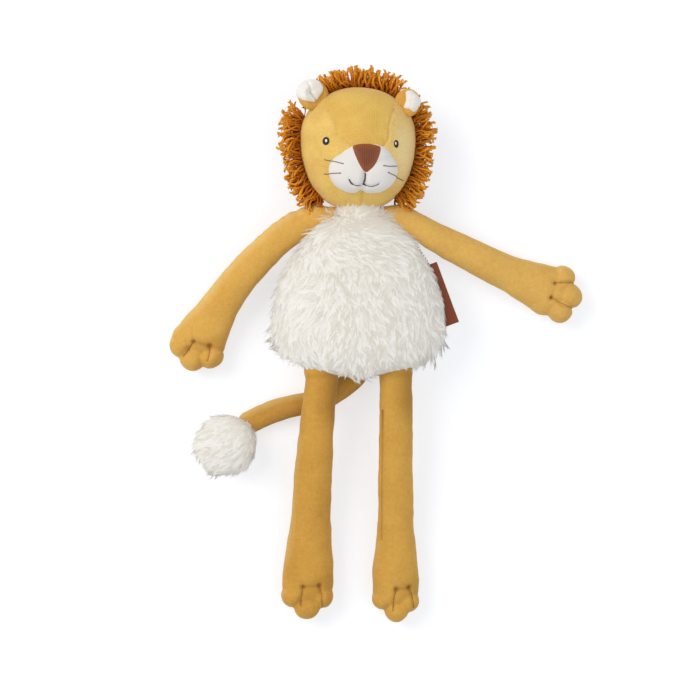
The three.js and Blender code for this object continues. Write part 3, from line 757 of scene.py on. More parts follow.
# It is longer over the shoulders and at the side seam, most on the left, and trimmed short over
# the legs, along the label and up the seam above it
def furLength(places):
    x, y, _ = places.T
    longer = 1 + np.where(x < 0, 0.4, 0.15) * shoulderNear(places, 44, 10)
    rim = seamNear(places, 9) * smoothStep(-y, 0, 22)
    longer *= 1 + np.where(x < 0, 0.4, 0.2) * rim * smoothStep(np.abs(x), 28, 38)
    overLegs = smoothStep(np.abs(x), 6, 13) * (1 - smoothStep(np.abs(x), 33, 41))
    longer *= 1 - 0.5 * smoothStep(-y, 32, 44) * overLegs
    return longer * (1 - 0.5 * bell(lineDistance(places, fur["trimmed"])[0], 5))


def buildFur(skin, tree, material):
    for k, layer in enumerate(fur["layers"]):
        places, normals = placesOn(skin, fur["locks"], 10 + k, furDensity)
        x, y, _ = places.T
        rng = np.random.default_rng(20 + k)
        flow = combed(pileFlow(places, 3), normals)
        flow /= np.linalg.norm(flow, axis=1, keepdims=True)
        flow *= 1 - 0.8 * bell(y - fur["partingY"], 2)[:, None]
        aims = flow + normals * (layer["lift"] + rng.normal(0, 0.1, (len(places), 1)))
        aims += rng.normal(0, 0.12, aims.shape)
        lengths = layer["length"] * rng.uniform(0.75, 1.15, len(places)) * furLength(places)
        # A random tone for each lock, with painted shadow under the chin and painted shade over all
        # but the left side
        tonesAndShade = rng.random(len(places)) + 0.9 * smoothStep(y, 40, 54)
        tonesAndShade += 0.27 * smoothStep(x, -38, -5)
        roots = places - normals * fur["rootDepth"]
        made = grown(
            layer["name"], tree, roots, normals, aims, lengths, tonesAndShade, material, 5 + k, fur["twist"]
        )
        letThrough(made)
        finishTrim(made, "torso", "body_fur")


# Head

head = {
    "width": 73,
    "depth": 62,
    "widestY": 104.6,
    "crownLength": 30,
    "chinLength": 47.6,
    "seamHeight": 30,
    "centreX": -0.6,
    "crownRoundness": 2,
    "chinRoundness": 2.35,
    "colours": ("#e8c56a", "#bd8634", "#efd08a"),
    "gussetColour": "#e0ba60",
    # Painted light: a pale patch on one cheek
    "paintedCheekLightColour": "#f6e2ac",
    "ribs": {"ribs": 1.1, "heading": 0},
    "worn": {"grain": 11, "detail": 2, "low": 0.42, "high": 0.62},
    "seamDepth": 0.55,
    "chinDepth": 0.8,
    "stitchPitch": 1.7,
    "stitchLength": 1.5,
    "stitchRadius": 0.17,
    "fill": 0.95,
    "leftSeam": [(-21.3, 120.5), (-16.2, 108.9), (-14.4, 101.3), (-8.8, 96.9), (-5.1, 94.3)],
    "rightSeam": [(22.1, 119.3), (19.1, 109.1), (18.5, 100.4), (16, 95.6), (13.5, 92.7)],
    "chinSeam": [(1.6, 66.7), (1.7, 58.8)],
    # Where the painted light on the cheek lies, and how big it is
    "paintedCheekLightAt": (29, 92),
    "paintedCheekLightSize": (8.5, 22),
}


# The face's velour has painted light on one cheek, and its worn ribs show on the forehead's gusset
def faceMaterial(name):
    colour, dark, light = head["colours"]
    gusset = {"value": "gusset"}
    layers = [
        (dark, (0.4, velour["patches"])),
        (light, (0.4, velour["tufts"])),
        # Painted light on one cheek
        (head["paintedCheekLightColour"], (0.75, {"value": "paintedCheekLight"})),
        (head["gussetColour"], (0.8, gusset)),
        (dark, (0.3, head["ribs"], head["worn"], gusset)),
        (dark, (0.3, velour["fibres"])),
    ]
    relief = [(1, head["ribs"], head["worn"], gusset), (1, velour["fibres"])]
    return newMaterial(name, velour["surface"], colour, layers, relief, velour["relief"], 0.7)


# The length and the roundness of the head's outline above or below its widest place
def headHalf(above):
    end = "crown" if above else "chin"
    return head[end + "Length"], head[end + "Roundness"]


def headOutline(y):
    length, roundness = headHalf(y > head["widestY"])
    share = min(abs(y - head["widestY"]) / length, 1)
    size = (1 - share**roundness) ** (1 / roundness)
    up, down = head["depth"] - head["seamHeight"], head["seamHeight"] + torso["floorCut"]
    return head["width"] / 2 * size, up * size, down * size


def faceHeight(x, y):
    halfWidth, up, _ = headOutline(y)
    across = (x - head["centreX"]) / halfWidth
    return head["seamHeight"] + up * math.sqrt(max(0, 1 - across**2))


def inGusset(points):
    left = np.array(head["leftSeam"], float)[::-1]
    right = np.array(head["rightSeam"], float)[::-1]
    lowest = left[0, 1]
    x, y, _ = points.T
    fromLeft = x - np.interp(y, left[:, 1], left[:, 0])
    fromRight = np.interp(y, right[:, 1], right[:, 0]) - x
    inside = smoothStep(fromLeft, -0.4, 0.4) * smoothStep(fromRight, -0.4, 0.4)
    return inside * smoothStep(y, lowest - 2, lowest)


# Presses a groove along a line, deeper and shallower by turns where it wobbles
def pressed(points, normals, line, depth, width, wobble=0.0):
    fall = bell(lineDistance(points, line)[0], width)
    front = points[:, 2] > head["seamHeight"]
    ripple = 1 + wobble * np.array([noise.noise(Vector(p) / 1.6) for p in points]) * 2
    return points - normals * (depth * fall * front * ripple)[:, None]


# Short threads pulled across a seam, each bedded in the cloth
def ladderStitches(surface, line):
    path = evenly(curved(line), head["stitchPitch"])
    length = head["stitchLength"]
    parts = []
    for a, b in zip(path, path[1:]):
        across = np.array([b[1] - a[1], a[0] - b[0]]) / math.dist(a, b) * length / 2
        laid = laidOn(surface, evenly([a - across, a + across], length / 4), 0.02)
        parts.append(tube(laid, head["stitchRadius"], 6))
    return parts


def buildHead(materials):
    seam = head["seamHeight"]
    low, high = head["widestY"] - head["chinLength"], head["widestY"] + head["crownLength"]
    stations = steps(low, head["widestY"], high, 90)
    half = lyingHalf(stations, headOutline, head["centreX"], seam, True, 170)
    face = meshObject("head_face", *half, materials["face"])
    points, normals = pointsOf(face), normalsOf(face)
    giveValues(face, "gusset", inGusset(points))
    # Painted light on one cheek, strongest at its middle
    away = (points[:, :2] - head["paintedCheekLightAt"]) / head["paintedCheekLightSize"]
    giveValues(face, "paintedCheekLight", np.exp(-(away**2).sum(1)))
    seams = [curved(head["leftSeam"]), curved(head["rightSeam"])]
    for line in seams:
        points = pressed(points, normals, line, head["seamDepth"], 0.8, 0.5)
        distance, along = lineDistance(points, line)
        spots = [Vector((a * 19, d * 0.4, 0)) for a, d in zip(along, distance)]
        pucker = np.array([noise.noise(spot) for spot in spots])
        near = np.exp(-((distance - 1.7) ** 2) / 2.2) * (points[:, 2] > seam)
        points = points + normals * (0.5 * pucker * near)[:, None]
    points = pressed(points, normals, head["chinSeam"], head["chinDepth"], 0.8, 0.3)
    lumps = np.array([noise.noise(Vector(p) / 14) for p in points])
    raised = smoothStep(points[:, 2], seam, seam + 8)
    setPoints(face, points + normals * (0.45 * lumps * raised)[:, None])
    finishSoft(face, "head", "face_velour", head["fill"], "head_face_panel", "head_filling")

    stations = steps(low, head["widestY"], high, 50)
    back = lyingHalf(stations, headOutline, head["centreX"], seam - torso["panelGap"], False, 110)
    back = meshObject("head_back", *back, materials["velour"])
    finishSoft(back, "head", "velour", head["fill"], "head_back_panel")
    return face


def buildGussetStitches(materials, face):
    surface = surfaceOf(face)
    stitches = []
    for line in (head["leftSeam"], head["rightSeam"]):
        stitches += ladderStitches(surface, line)
    made = meshObject("gusset_stitches", *joined(stitches), materials["seamThread"])
    finishTrim(made, "head", "face_velour")


muzzle = {
    "x": 2.5,
    "y": 80.2,
    "padWidth": 32,
    "padHeight": 28.8,
    "padDepth": 11.5,
    "spread": 11.2,
    "sink": 5.5,
    "bridge": (3.4, 87.4, 17, 10.6, 10),
    "colours": ("#e3dfd9", "#d6d3cd"),
    "notch": [(3.9, 78.1), (3, 70.9), (0.8, 67.1), (0.5, 64.5)],
}


# Two pads side by side and a bridge up to the nose, sewn as one, with the mouth drawn in
def buildMuzzle(materials):
    size = (muzzle["padWidth"] / 2, muzzle["padHeight"] / 2, muzzle["padDepth"])
    middle, spread = muzzle["x"], muzzle["spread"] / 2
    pads = []
    for x, y, *radii in (
        (middle - spread, muzzle["y"], *size),
        (middle + spread, muzzle["y"], *size),
        muzzle["bridge"],
    ):
        pads.append(ball(np.array([x, y, faceHeight(x, y) - muzzle["sink"]]), np.array(radii), 64))
    made = fusedSkin("muzzle_pads", pads, 0.6, 10, materials["muzzle"])
    points, normals = pointsOf(made), normalsOf(made)
    points = pressed(points, normals, curved(muzzle["notch"]), 1.5, 1.7)
    for line in mouth["thick"] + mouth["thin"]:
        points = pressed(points, normals, curved(line), 0.45, 0.9)
    setPoints(made, points)
    finishSoft(made, "head", "muzzle_fleece", 0.9, "muzzle")
    return made


nose = {
    "outline": [
        (-4.2, 93.9), (-1.6, 95.5), (4.5, 96), (11.2, 95.1), (13.6, 93.1), (12.2, 87.1),
        (9.5, 81.9), (6.1, 78.6), (4.2, 78), (1.8, 79.6), (-1.2, 84.9), (-3.2, 89.8),
    ],
    "rise": 1.5,
    "colours": ("#60311c", "#9c5733"),
    "ribPitch": 1.1,
}


eyes = {
    "left": {"x": -20.6, "y": 97.9, "width": 4.6, "height": 5.3, "glint": (0.1, 0.1)},
    "right": {"x": 23.1, "y": 96.4, "width": 3.1, "height": 5.1, "glint": (-0.35, 0.2)},
    "rise": 1.1,
    "colours": ("#231f1e", "#352d29"),
    "ribPitch": 0.5,
    "glintColour": "#f5f5f5",
}


mouth = {
    "thick": [
        [(3.7, 77.8), (3.7, 74.5), (2.7, 71.3), (2.2, 70.6)],
        [(-6.3, 73.8), (-5.4, 72), (-3.8, 70.5)],
        [(2.7, 71.3), (4.2, 70.2)],
    ],
    "thin": [
        [(-3.8, 70.5), (-1.4, 69.9), (0.9, 70.3)],
        [(4.2, 70.2), (7.3, 69.5), (10.4, 70.2), (12.5, 71.3)],
    ],
    "whiskers": [
        [(-21.7, 86.6), (-15.6, 85), (-10, 83.2)],
        [(-22, 77.9), (-16.8, 77.6), (-11.5, 77.5)],
        [(15.2, 82.1), (19, 81.9), (23.4, 82.4)],
        [(18, 78), (22.9, 76.2), (28, 74.7)],
    ],
    "thickRadius": 0.5,
    "thinRadius": 0.26,
    "knotRadii": (0.5, 0.4, 0.35),
    "darkColour": "#353231",
    "brownColour": "#5d4a3c",
}


# A small embroidered pad: a crowned patch that lies on the face and reaches into it at its rim
def embroideredPad(name, outline, surface, rise, material, slot, *nodes):
    centre = outline.mean(0)
    rings = []
    shares = np.linspace(0.04, 1, 14)
    for share in shares:
        lifted = laidOn(surface, centre + (outline - centre) * share, 0)
        lifted[:, 2] += rise * (1 - share**5) - 0.25 * share**8
        rings.append(lifted)
    sunk = rings[-1] - [0, 0, 1.2]
    inner = laidOn(surface, centre + (outline - centre) * 0.1, 0) - [0, 0, 1.5]
    made = meshObject(name, *closedRings([*rings, sunk, inner]), material)
    edge = np.concatenate([np.repeat(shares**3, len(outline)), np.ones(2 * len(outline)), [0, 1]])
    giveValues(made, "edge", edge)
    finishTrim(made, "head", slot, *nodes)
    return made


def threadsOn(surface, thread, radius):
    return [tube(laidOn(surface, evenly(curved(line), 0.5), 0.1), radius) for line in thread]


def buildFaceThreads(materials, surface):
    outline = curved(nose["outline"], 6, closed=True)
    embroideredPad(
        "nose_satin", outline, surface, nose["rise"], materials["nose"], "nose_thread", "nose"
    )
    for side in ("left", "right"):
        eye = eyes[side]
        x, y, width, height = eye["x"], eye["y"], eye["width"], eye["height"]
        outline = ellipse(x, y, width, height, 28)
        made = embroideredPad(
            f"eye_{side}_satin", outline, surface, eyes["rise"], materials["eye"],
            "eye_thread", f"eye_{side}",
        )
        glintX, glintY = eye["glint"]
        outline = ellipse(x + glintX, y + glintY, width * 0.34, height * 0.42, 14)
        embroideredPad(
            f"eye_{side}_glint", outline, surfaceOf(made), 0.25, materials["glint"], "eye_thread"
        )
    thick = threadsOn(surface, mouth["thick"], mouth["thickRadius"])
    made = meshObject("mouth_thread", *joined(thick), materials["darkThread"])
    finishTrim(made, "head", "eye_thread")
    thin = threadsOn(surface, mouth["thin"] + mouth["whiskers"], mouth["thinRadius"])
    for line in mouth["whiskers"]:
        inner = line[-1] if line[-1][0] < muzzle["x"] else line[0]
        thin.append(ball(laidOn(surface, [inner], 0.15)[0], np.array(mouth["knotRadii"]), 10))
    made = meshObject("whisker_threads", *joined(thin), materials["brownThread"])
    finishTrim(made, "head", "eye_thread")


# Ears

ears = {
    "left": {
        "x": -28.8, "y": 128.2, "radius": 9.6, "lean": 24,
        "stretch": 1.09, "pinch": (-2.2, 1.2),
        "lining": [
            (-10.1, 4.7), (-7.9, 8.3), (-4.1, 9.9), (0.1, 10.1), (3.7, 8.8),
            (5.8, 5.6), (6, 2.7), (4.3, -0.1), (2.4, -2.9), (1, -4.4),
            (-1.5, -4.5), (-5.7, -4), (-8.9, -2.5), (-10.4, 0.9),
        ],
        "creases": [(-47, 3.4, 0.7), (172, 1.7, 1.6), (104, 2, 0.8)],
    },
    "right": {
        "x": 30.2, "y": 123.4, "radius": 9, "lean": -30,
        "stretch": 1, "pinch": (3.1, 0.8),
        "lining": [
            (-0.5, 6.7), (2.4, 7.5), (5.6, 5.6), (7.6, 2.5), (8, -0.3), (7.4, -2.7), (5.9, -5.5),
            (4.1, -6.2), (1.8, -4.8), (-1.3, -3.8), (-1.7, -2.4), (-0.6, 0.3), (-0.4, 3.6),
        ],
        "creases": [(70, 0.8, 1), (-112, 0.9, 1)],
    },
    "depth": 4.4,
    "hollowRadius": 19,
    "hollowDepth": 2.6,
    "height": 42,
    "puff": 2.8,
    "liningColours": ("#eeebe5", "#d6d3cb"),
}


def earPlace(ear, local):
    lean = math.radians(ear["lean"])
    x = local[:, 0] * math.cos(lean) + local[:, 2] * math.sin(lean)
    z = local[:, 2] * math.cos(lean) - local[:, 0] * math.sin(lean)
    return np.stack([x + ear["x"], local[:, 1] + ear["y"], z + ears["height"]], 1)


# The front of an ear: a low dome with a hollow in its middle
def earFront(radius, earRadius):
    share = np.minimum(radius / earRadius, 1)
    dome = ears["depth"] * np.sqrt(1 - share**2)
    middle = ears["depth"] - ears["hollowDepth"] + ears["hollowRadius"]
    bowl = middle - np.sqrt(ears["hollowRadius"] ** 2 - np.minimum(radius, 12) ** 2)
    return np.minimum(dome, bowl)


# Where a place seen from above lies on the front of a leaning ear
def onEar(ear, flat):
    lean = math.radians(ear["lean"])
    local = np.array(flat, float)
    for _ in range(4):
        height = earFront(np.linalg.norm(local, axis=-1), ear["radius"])
        local[..., 0] = (np.asarray(flat, float)[..., 0] - height * math.sin(lean)) / math.cos(lean)
    return local


def buildEarBack(side, materials):
    ear = ears[side]
    rim = circle(72) * (ear["stretch"], 1)
    rings = []
    for share in np.sin(np.linspace(0.05, 1, 22) * math.pi / 2):
        height = -ears["depth"] * math.sqrt(1 - share**2)
        rings.append(np.column_stack([rim * share * ear["radius"], np.full(72, height)]))
    for share in np.sin(np.linspace(1, 0.05, 30) * math.pi / 2)[1:]:
        height = earFront(share * ear["radius"], ear["radius"])
        rings.append(np.column_stack([rim * share * ear["radius"], np.full(72, height)]))
    points, faces = closedRings(rings)
    back = meshObject(f"ear_{side}_cloth", earPlace(ear, points), faces, materials["velour"])
    finishSoft(back, f"ear_{side}", "velour", 0.5, f"ear_{side}_back")


# The lining puffs up in its outline, and folds run out of the place where it is pinched
def buildEarLining(side, materials):
    ear = ears[side]
    wide = (ear["stretch"], 1)
    outline = onEar(ear, curved(ear["lining"], 6, closed=True))
    outline *= np.minimum(1, 1.05 * ear["radius"] / np.linalg.norm(outline / wide, axis=1))[:, None]
    middle = outline.mean(0)
    pinch = onEar(ear, ear["pinch"])
    rings = []
    for share in [*np.linspace(0.04, 0.9, 26), 0.95, 0.985, 1]:
        flat = middle + (outline - middle) * share
        base = earFront(np.linalg.norm(flat / wide, axis=1), ear["radius"]) + 0.15
        rise = ears["puff"] * np.sqrt(1 - share**3.2)
        away = flat - pinch
        distance = np.linalg.norm(away, axis=1)
        angle = np.arctan2(away[:, 1], away[:, 0])
        fold = np.zeros(len(flat))
        for degrees, depth, width in ear["creases"]:
            turned = (angle - math.radians(degrees) + math.pi) % (2 * math.pi) - math.pi
            aside = distance * np.abs(np.sin(turned))
            off = np.where(np.abs(turned) < math.pi / 2, aside, distance)
            fold = np.maximum(fold, depth * bell(off, width) * np.exp(-distance / 11))
        rings.append(np.column_stack([flat, base + rise - np.minimum(fold, rise + 0.3)]))
    under = rings[-1] - [0, 0, 0.9]
    inner = middle + (outline - middle) * 0.1
    lowest = earFront(np.linalg.norm(inner / wide, axis=1), ear["radius"]) - 0.6
    points, faces = closedRings([*rings, under, np.column_stack([inner, lowest])])
    lining = meshObject(f"ear_{side}_fleece", earPlace(ear, points), faces, materials["lining"])
    finishSoft(lining, f"ear_{side}", "muzzle_fleece", 0.4, f"ear_{side}_lining")


# Mane: strands of yarn in rows along a band in the head's seam. A row has a height and a length.

mane = {
    "stretches": [
        {
            "name": "mane_left", "from": 159, "to": 233, "lengths": (15.5, 14),
            "spacing": 1.4, "tone": 0.9,
        },
        {
            "name": "mane_top", "from": 51, "to": 125, "lengths": (14.5, 14.5),
            "spacing": 1.7, "tone": 0.45,
        },
        {
            "name": "mane_right", "from": -53, "to": 29, "lengths": (14, 15.5),
            "spacing": 1.75, "tone": 0.65,
        },
    ],
    "rows": [
        (-5, 1), (-4, 0.6), (-3.2, 1), (-2.2, 0.55), (-1.5, 1),
        (-0.4, 0.6), (0.2, 1), (1.9, 1), (2.6, 0.55), (3.6, 0.95),
    ],
    "bedding": 0.6,
    "rise": 0.072,
    "droop": 0.62,
    "yarnRadius": 0.62,
    "plyRadius": 0.37,
    "plies": 3,
    "turns": 2.3,
    "knot": 1.4,
    "kinds": 9,
    "tipColour": "#efa93c",
    "colour": "#e08b27",
    "rootColour": "#8a450c",
}


# Twisted wool yarn: painted shade at the roots where it is packed at the head, orange and frayed at
# its tip
def yarnMaterial(name):
    surface = {
        "Roughness": 0.9, "Specular IOR Level": 0.04,
        "Sheen Weight": 0.06, "Sheen Tint": mane["tipColour"],
    }
    wool = {"grain": 0.35, "detail": 4}
    layers = [
        # Painted shade at the roots, where the strands pack at the head
        (mane["colour"], (1, {"value": "share", "low": 0.05, "high": 0.5})),
        (mane["tipColour"], (1, {"value": "share", "low": 0.5, "high": 0.9})),
        # Darker by each strand's tone: random on long strands, painted shade on the short inner
        # ones
        ("#a8530e", (0.55, {"value": "toneAndShade"})),
        ("#f0a436", (0.4, {**wool, "low": 0.5, "high": 0.8})),
    ]
    return newMaterial(name, surface, mane["rootColour"], layers, [(1, wool)], 0.25, 0.8)


# A strand of yarn: plies that twist round each other and end in a loose knob
def yarnShapes(material):
    section = np.column_stack([circle(4), np.zeros(4)])
    lastStep = 9
    made = []
    for k in range(mane["kinds"]):
        rng = np.random.default_rng(70 + k)
        bend, sway, phase = rng.uniform(-3.2, 3.6), rng.uniform(0.4, 1.7), rng.uniform(0, 6)
        hook = rng.uniform(-1.5, 1.5, 2)
        plies = []
        for ply in range(mane["plies"]):
            line = []
            for j in range(lastStep + 1):
                t = j / lastStep
                twist = 2 * math.pi * (ply / mane["plies"] + mane["turns"] * t)
                end = float(smoothStep(t, 0.78, 1))
                out = mane["yarnRadius"] * (0.55 + 0.6 * end)
                line.append([
                    bend * t**2 + sway * (math.sin(5 * t + phase) - math.sin(phase)) + hook[0] * end
                    + out * math.cos(twist),
                    sway * 0.7 * (math.cos(4 * t + phase) - math.cos(phase)) + hook[1] * end
                    + out * math.sin(twist),
                    strandLength * t - 0.7 * end * abs(hook[0]),
                ])
            radii = np.full(lastStep + 1, mane["plyRadius"])
            radii[-3:] *= mane["knot"]
            radii[-1] *= 0.7
            plies.append((np.array(line), radii))
        made.append(strandShape(f"yarn_{k}", plies, section, False, material))
    return made


def signedPower(value, power):
    return math.copysign(abs(value) ** power, value)


# A place on the head's outline and the way out of it
def headEdge(degrees):
    across, along = math.cos(math.radians(degrees)), math.sin(math.radians(degrees))
    length, roundness = headHalf(along > 0)
    half = head["width"] / 2
    steep = 2 - 2 / roundness
    normal = np.array([length * signedPower(across, steep), half * signedPower(along, steep), 0])
    x = head["centreX"] + half * signedPower(across, 2 / roundness)
    y = head["widestY"] + length * signedPower(along, 2 / roundness)
    return np.array([x, y, head["seamHeight"]]), unit(normal)


def buildMane(tree, material):
    for k, stretch in enumerate(mane["stretches"]):
        rng = np.random.default_rng(90 + k)
        low, high = stretch["from"], stretch["to"]
        edge = [headEdge(mixed(low, high, j / 20))[0] for j in range(21)]
        count = round(sum(math.dist(a, b) for a, b in zip(edge, edge[1:])) / stretch["spacing"])
        places, aims, lengths, tonesAndShade = [], [], [], []
        for row, (height, share) in enumerate(mane["rows"]):
            for j in range(count):
                degrees = mixed(low, high, (j + 0.5 + rng.uniform(-0.45, 0.45)) / count)
                point, normal = headEdge(degrees)
                point = point - normal * (mane["bedding"] + abs(height) * 0.12)
                places.append(point + [0, 0, height + rng.normal(0, 0.5)])
                below = max(0.0, -math.sin(math.radians(degrees)))
                clump = noise.noise(Vector((degrees / 3.6, row * 0.3, k * 9)))
                lean = noise.noise(Vector((degrees / 9, row * 3 + 20, k)))
                along = np.array([-normal[1], normal[0], 0])
                aim = normal + along * (1.1 * clump + rng.normal(0, 0.2))
                aim[1] -= mane["droop"] * below
                aim[2] = height * mane["rise"] + 0.3 * lean + rng.normal(0, 0.12) - 0.1 * below
                aims.append(aim)
                lengths.append(mixed(*stretch["lengths"], below) * rng.uniform(0.74, 1.12) * share)
                # Long strands get a random tone; the short inner ones are painted dark as the shade
                # deep in the mane
                tonesAndShade.append(stretch["tone"] * (rng.random() * 0.8 if share > 0.9 else 1.7))
        made = grown(
            stretch["name"] + "_yarn", tree, places, np.zeros((len(places), 3)), aims,
            lengths, tonesAndShade, material, 30 + k, math.pi,
        )
        finishTrim(made, "head", "mane_yarn", stretch["name"])


# Limbs and tail. A limb has the place of its root, its headings at the root, the middle and the
# end, its radii, its toes (mm back from the end, mm across, radius) and balls that fill its root.

limbs = {
    "arm_left": {
        "colours": ("#dcac55", "#bc8434", "#e9bf6c"), "ribPitch": 1.2, "ribHeading": 20,
        "x": -26.5, "y": 53, "headings": (206, 231, 247), "length": 130.5, "pawFullAt": 0.96,
        "root": 8, "shaft": 11, "paw": 17.7, "pawShade": 0.75,
        "toes": [(7.2, -0.8, 8), (12, 9, 7.9), (17, 9.7, 8), (13.4, -10.6, 7.9)],
        "fill": [
            (-13, 50.6, 7.9), (-17.5, 51.4, 7.9), (-22, 51.6, 7.9), (-28, 51.4, 8),
            (-34.3, 50.6, 8.2), (-39.8, 48.2, 8.4), (-44.6, 45.1, 8.6), (-49.3, 41.6, 8.8),
            (-54, 37.8, 8.9), (-58.6, 33.7, 8.8),
        ],
        "stitches": [
            [(-106, -26.5), (-109.2, -31.7), (-113, -35.9)],
            [(-95.2, -29.3), (-95.4, -33), (-96.9, -39)],
        ],
    },
    "arm_right": {
        "colours": ("#dcae58", "#bf8d42", "#ecc678"), "ribPitch": 1.25, "ribHeading": -50,
        "x": 26.5, "y": 53, "headings": (-31, -24.5, -21), "length": 127.5, "pawFullAt": 0.96,
        "root": 8, "shaft": 11, "paw": 17.6, "pawShade": 0.3,
        "toes": [(7.2, -1.6, 8), (9.6, 8.8, 8), (15.8, -11, 7.7)],
        "fill": [(13, 50.6, 7.9), (17.5, 51.4, 7.9), (22, 52.2, 7.9)],
        "stitches": [
            [(125.6, 11.3), (131.5, 11.2), (137.5, 11.5)],
            [(122.9, 1.5), (129.8, -1.7), (137.7, -5.3)],
        ],
    },
    "leg_left": {
        "colours": ("#ce9b44", "#b07b30", "#e0b35e"), "ribPitch": 1.2, "ribHeading": 60,
        "x": -23.5, "y": -50, "headings": (263, 267, 268), "length": 154.1, "pawFullAt": 0.85,
        "root": 10, "shaft": 12.3, "paw": 16.2, "pawShade": 0.75,
        "toes": [(7, 0, 7.9), (14, 9.2, 7.4), (14, -9.2, 7.4)],
        "fill": [(-24, -45, 10.8)],
        "stitches": [
            [(-35.9, -183.1), (-36.8, -189), (-37.6, -195.7)],
            [(-25.1, -182.3), (-23.8, -188), (-23.3, -196.3)],
        ],
    },
    "leg_right": {
        "colours": ("#d1a048", "#b38237", "#e2b762"), "ribPitch": 1.2, "ribHeading": 60,
        "x": 23.5, "y": -50, "headings": (270, 270, 270), "length": 155.6, "pawFullAt": 0.85,
        "root": 10, "shaft": 11.1, "paw": 14.7, "pawShade": 0.75,
        "toes": [(6.6, -0.8, 7.5), (14.2, 8.1, 6.9), (12.6, -8.2, 6.9)],
        "fill": [(23.6, -45, 10.6)],
        "seam": [(14.6, -70), (14.3, -95), (14.1, -122), (14, -152)],
        "stitches": [
            [(23.7, -184.5), (22.2, -191.5), (21.5, -198.4)],
            [(32.2, -183.5), (34.2, -189.5), (35.3, -197)],
        ],
    },
}

limbShape = {
    "heightShare": 0.88,
    "pawStart": 0.56,
    "domeStart": 2.7,
    "domeLength": 1.7,
    "pawHeight": 11.5,
    "toeHeight": 9.8,
    "pileThickness": 0.42,
    "fill": 0.8,
    "threadRadius": 0.2,
    "knotRadii": (0.6, 0.6, 0.4),
}


def limbPath(limb, rootHeight, endHeight):
    first, middle, last = limb["headings"]

    def headingAt(share):
        if share < 0.5:
            return math.radians(mixed(first, middle, share * 2))
        return math.radians(mixed(middle, last, share * 2 - 1))

    stepCount = 60
    step = limb["length"] / stepCount
    places = [np.array([limb["x"], limb["y"], rootHeight], float)]
    for k in range(stepCount):
        angle = headingAt((k + 0.5) / stepCount)
        after = places[k] + np.array([math.cos(angle), math.sin(angle), 0]) * step
        after[2] = mixed(rootHeight, endHeight, float(smoothStep((k + 1) / stepCount, 0, 0.9)))
        places.append(after)

    def at(distance):
        share = min(max(distance / limb["length"], 0), 1)
        k = min(int(share * stepCount), stepCount - 1)
        angle = headingAt(share)
        heading = np.array([math.cos(angle), math.sin(angle), 0])
        point = mixed(places[k], places[k + 1], share * stepCount - k)
        return point + heading * min(distance, 0), heading

    return at


def limbRadii(limb, distance):
    share = distance / limb["length"]
    shaft = mixed(limb["root"], limb["shaft"], float(smoothStep(share, 0, 0.62)))
    paw = float(smoothStep(share, limbShape["pawStart"], limb["pawFullAt"]))
    width = mixed(shaft, limb["paw"], paw)
    flat = mixed(1, limbShape["heightShare"], float(smoothStep(share, 0, 0.25)))
    end = limbShape["pawHeight"] if limb["paw"] > limb["shaft"] else shaft * flat
    return width, mixed(shaft * flat, end, paw)


def limbBody(limb, path):
    root = limb["root"]
    toe = limb["toes"][0][2] if "toes" in limb else 0
    bodyLength = limb["length"] - (toe * limbShape["domeStart"] if toe else root)
    roundLength = toe * limbShape["domeLength"] if toe else root
    rings = []

    def addRing(distance, width, height):
        point, heading = path(distance)
        side = np.array([heading[1], -heading[0], 0])
        rings.append(point + circle(40) @ np.array([side * width, (0, 0, height)]))

    for degrees in range(8, 90, 12):
        angle = math.radians(degrees)
        addRing(-root * math.cos(angle), root * math.sin(angle), root * math.sin(angle))
    for k in range(61):
        addRing(bodyLength * k / 60, *limbRadii(limb, bodyLength * k / 60))
    width, height = limbRadii(limb, bodyLength)
    for degrees in range(10, 90, 10):
        angle = math.radians(degrees)
        size = math.cos(angle)
        addRing(bodyLength + roundLength * math.sin(angle), width * size, height * size)
    return closedRings(rings)


def toeBalls(limb, path):
    made = []
    for back, across, radius in limb["toes"]:
        point, heading = path(limb["length"] - back)
        side = np.array([heading[1], -heading[0], 0])
        radii = np.array([radius, radius, limbShape["toeHeight"]])
        made.append(ball(point + side * across, radii, 40))
    return made


# The sewn root of a limb runs on under the fur and keeps to the height of the limb outside it
def rootBalls(limb, path):
    along = [path(distance)[0] for distance in range(0, 60, 2)]
    made = []
    for x, y, radius in limb["fill"]:
        nearest = min(along, key=lambda point: math.hypot(point[0] - x, point[1] - y))
        height = mixed(torso["seamHeight"], nearest[2], 1.3)
        made.append(ball(np.array([x, y, height]), np.full(3, radius), 28))
    return made


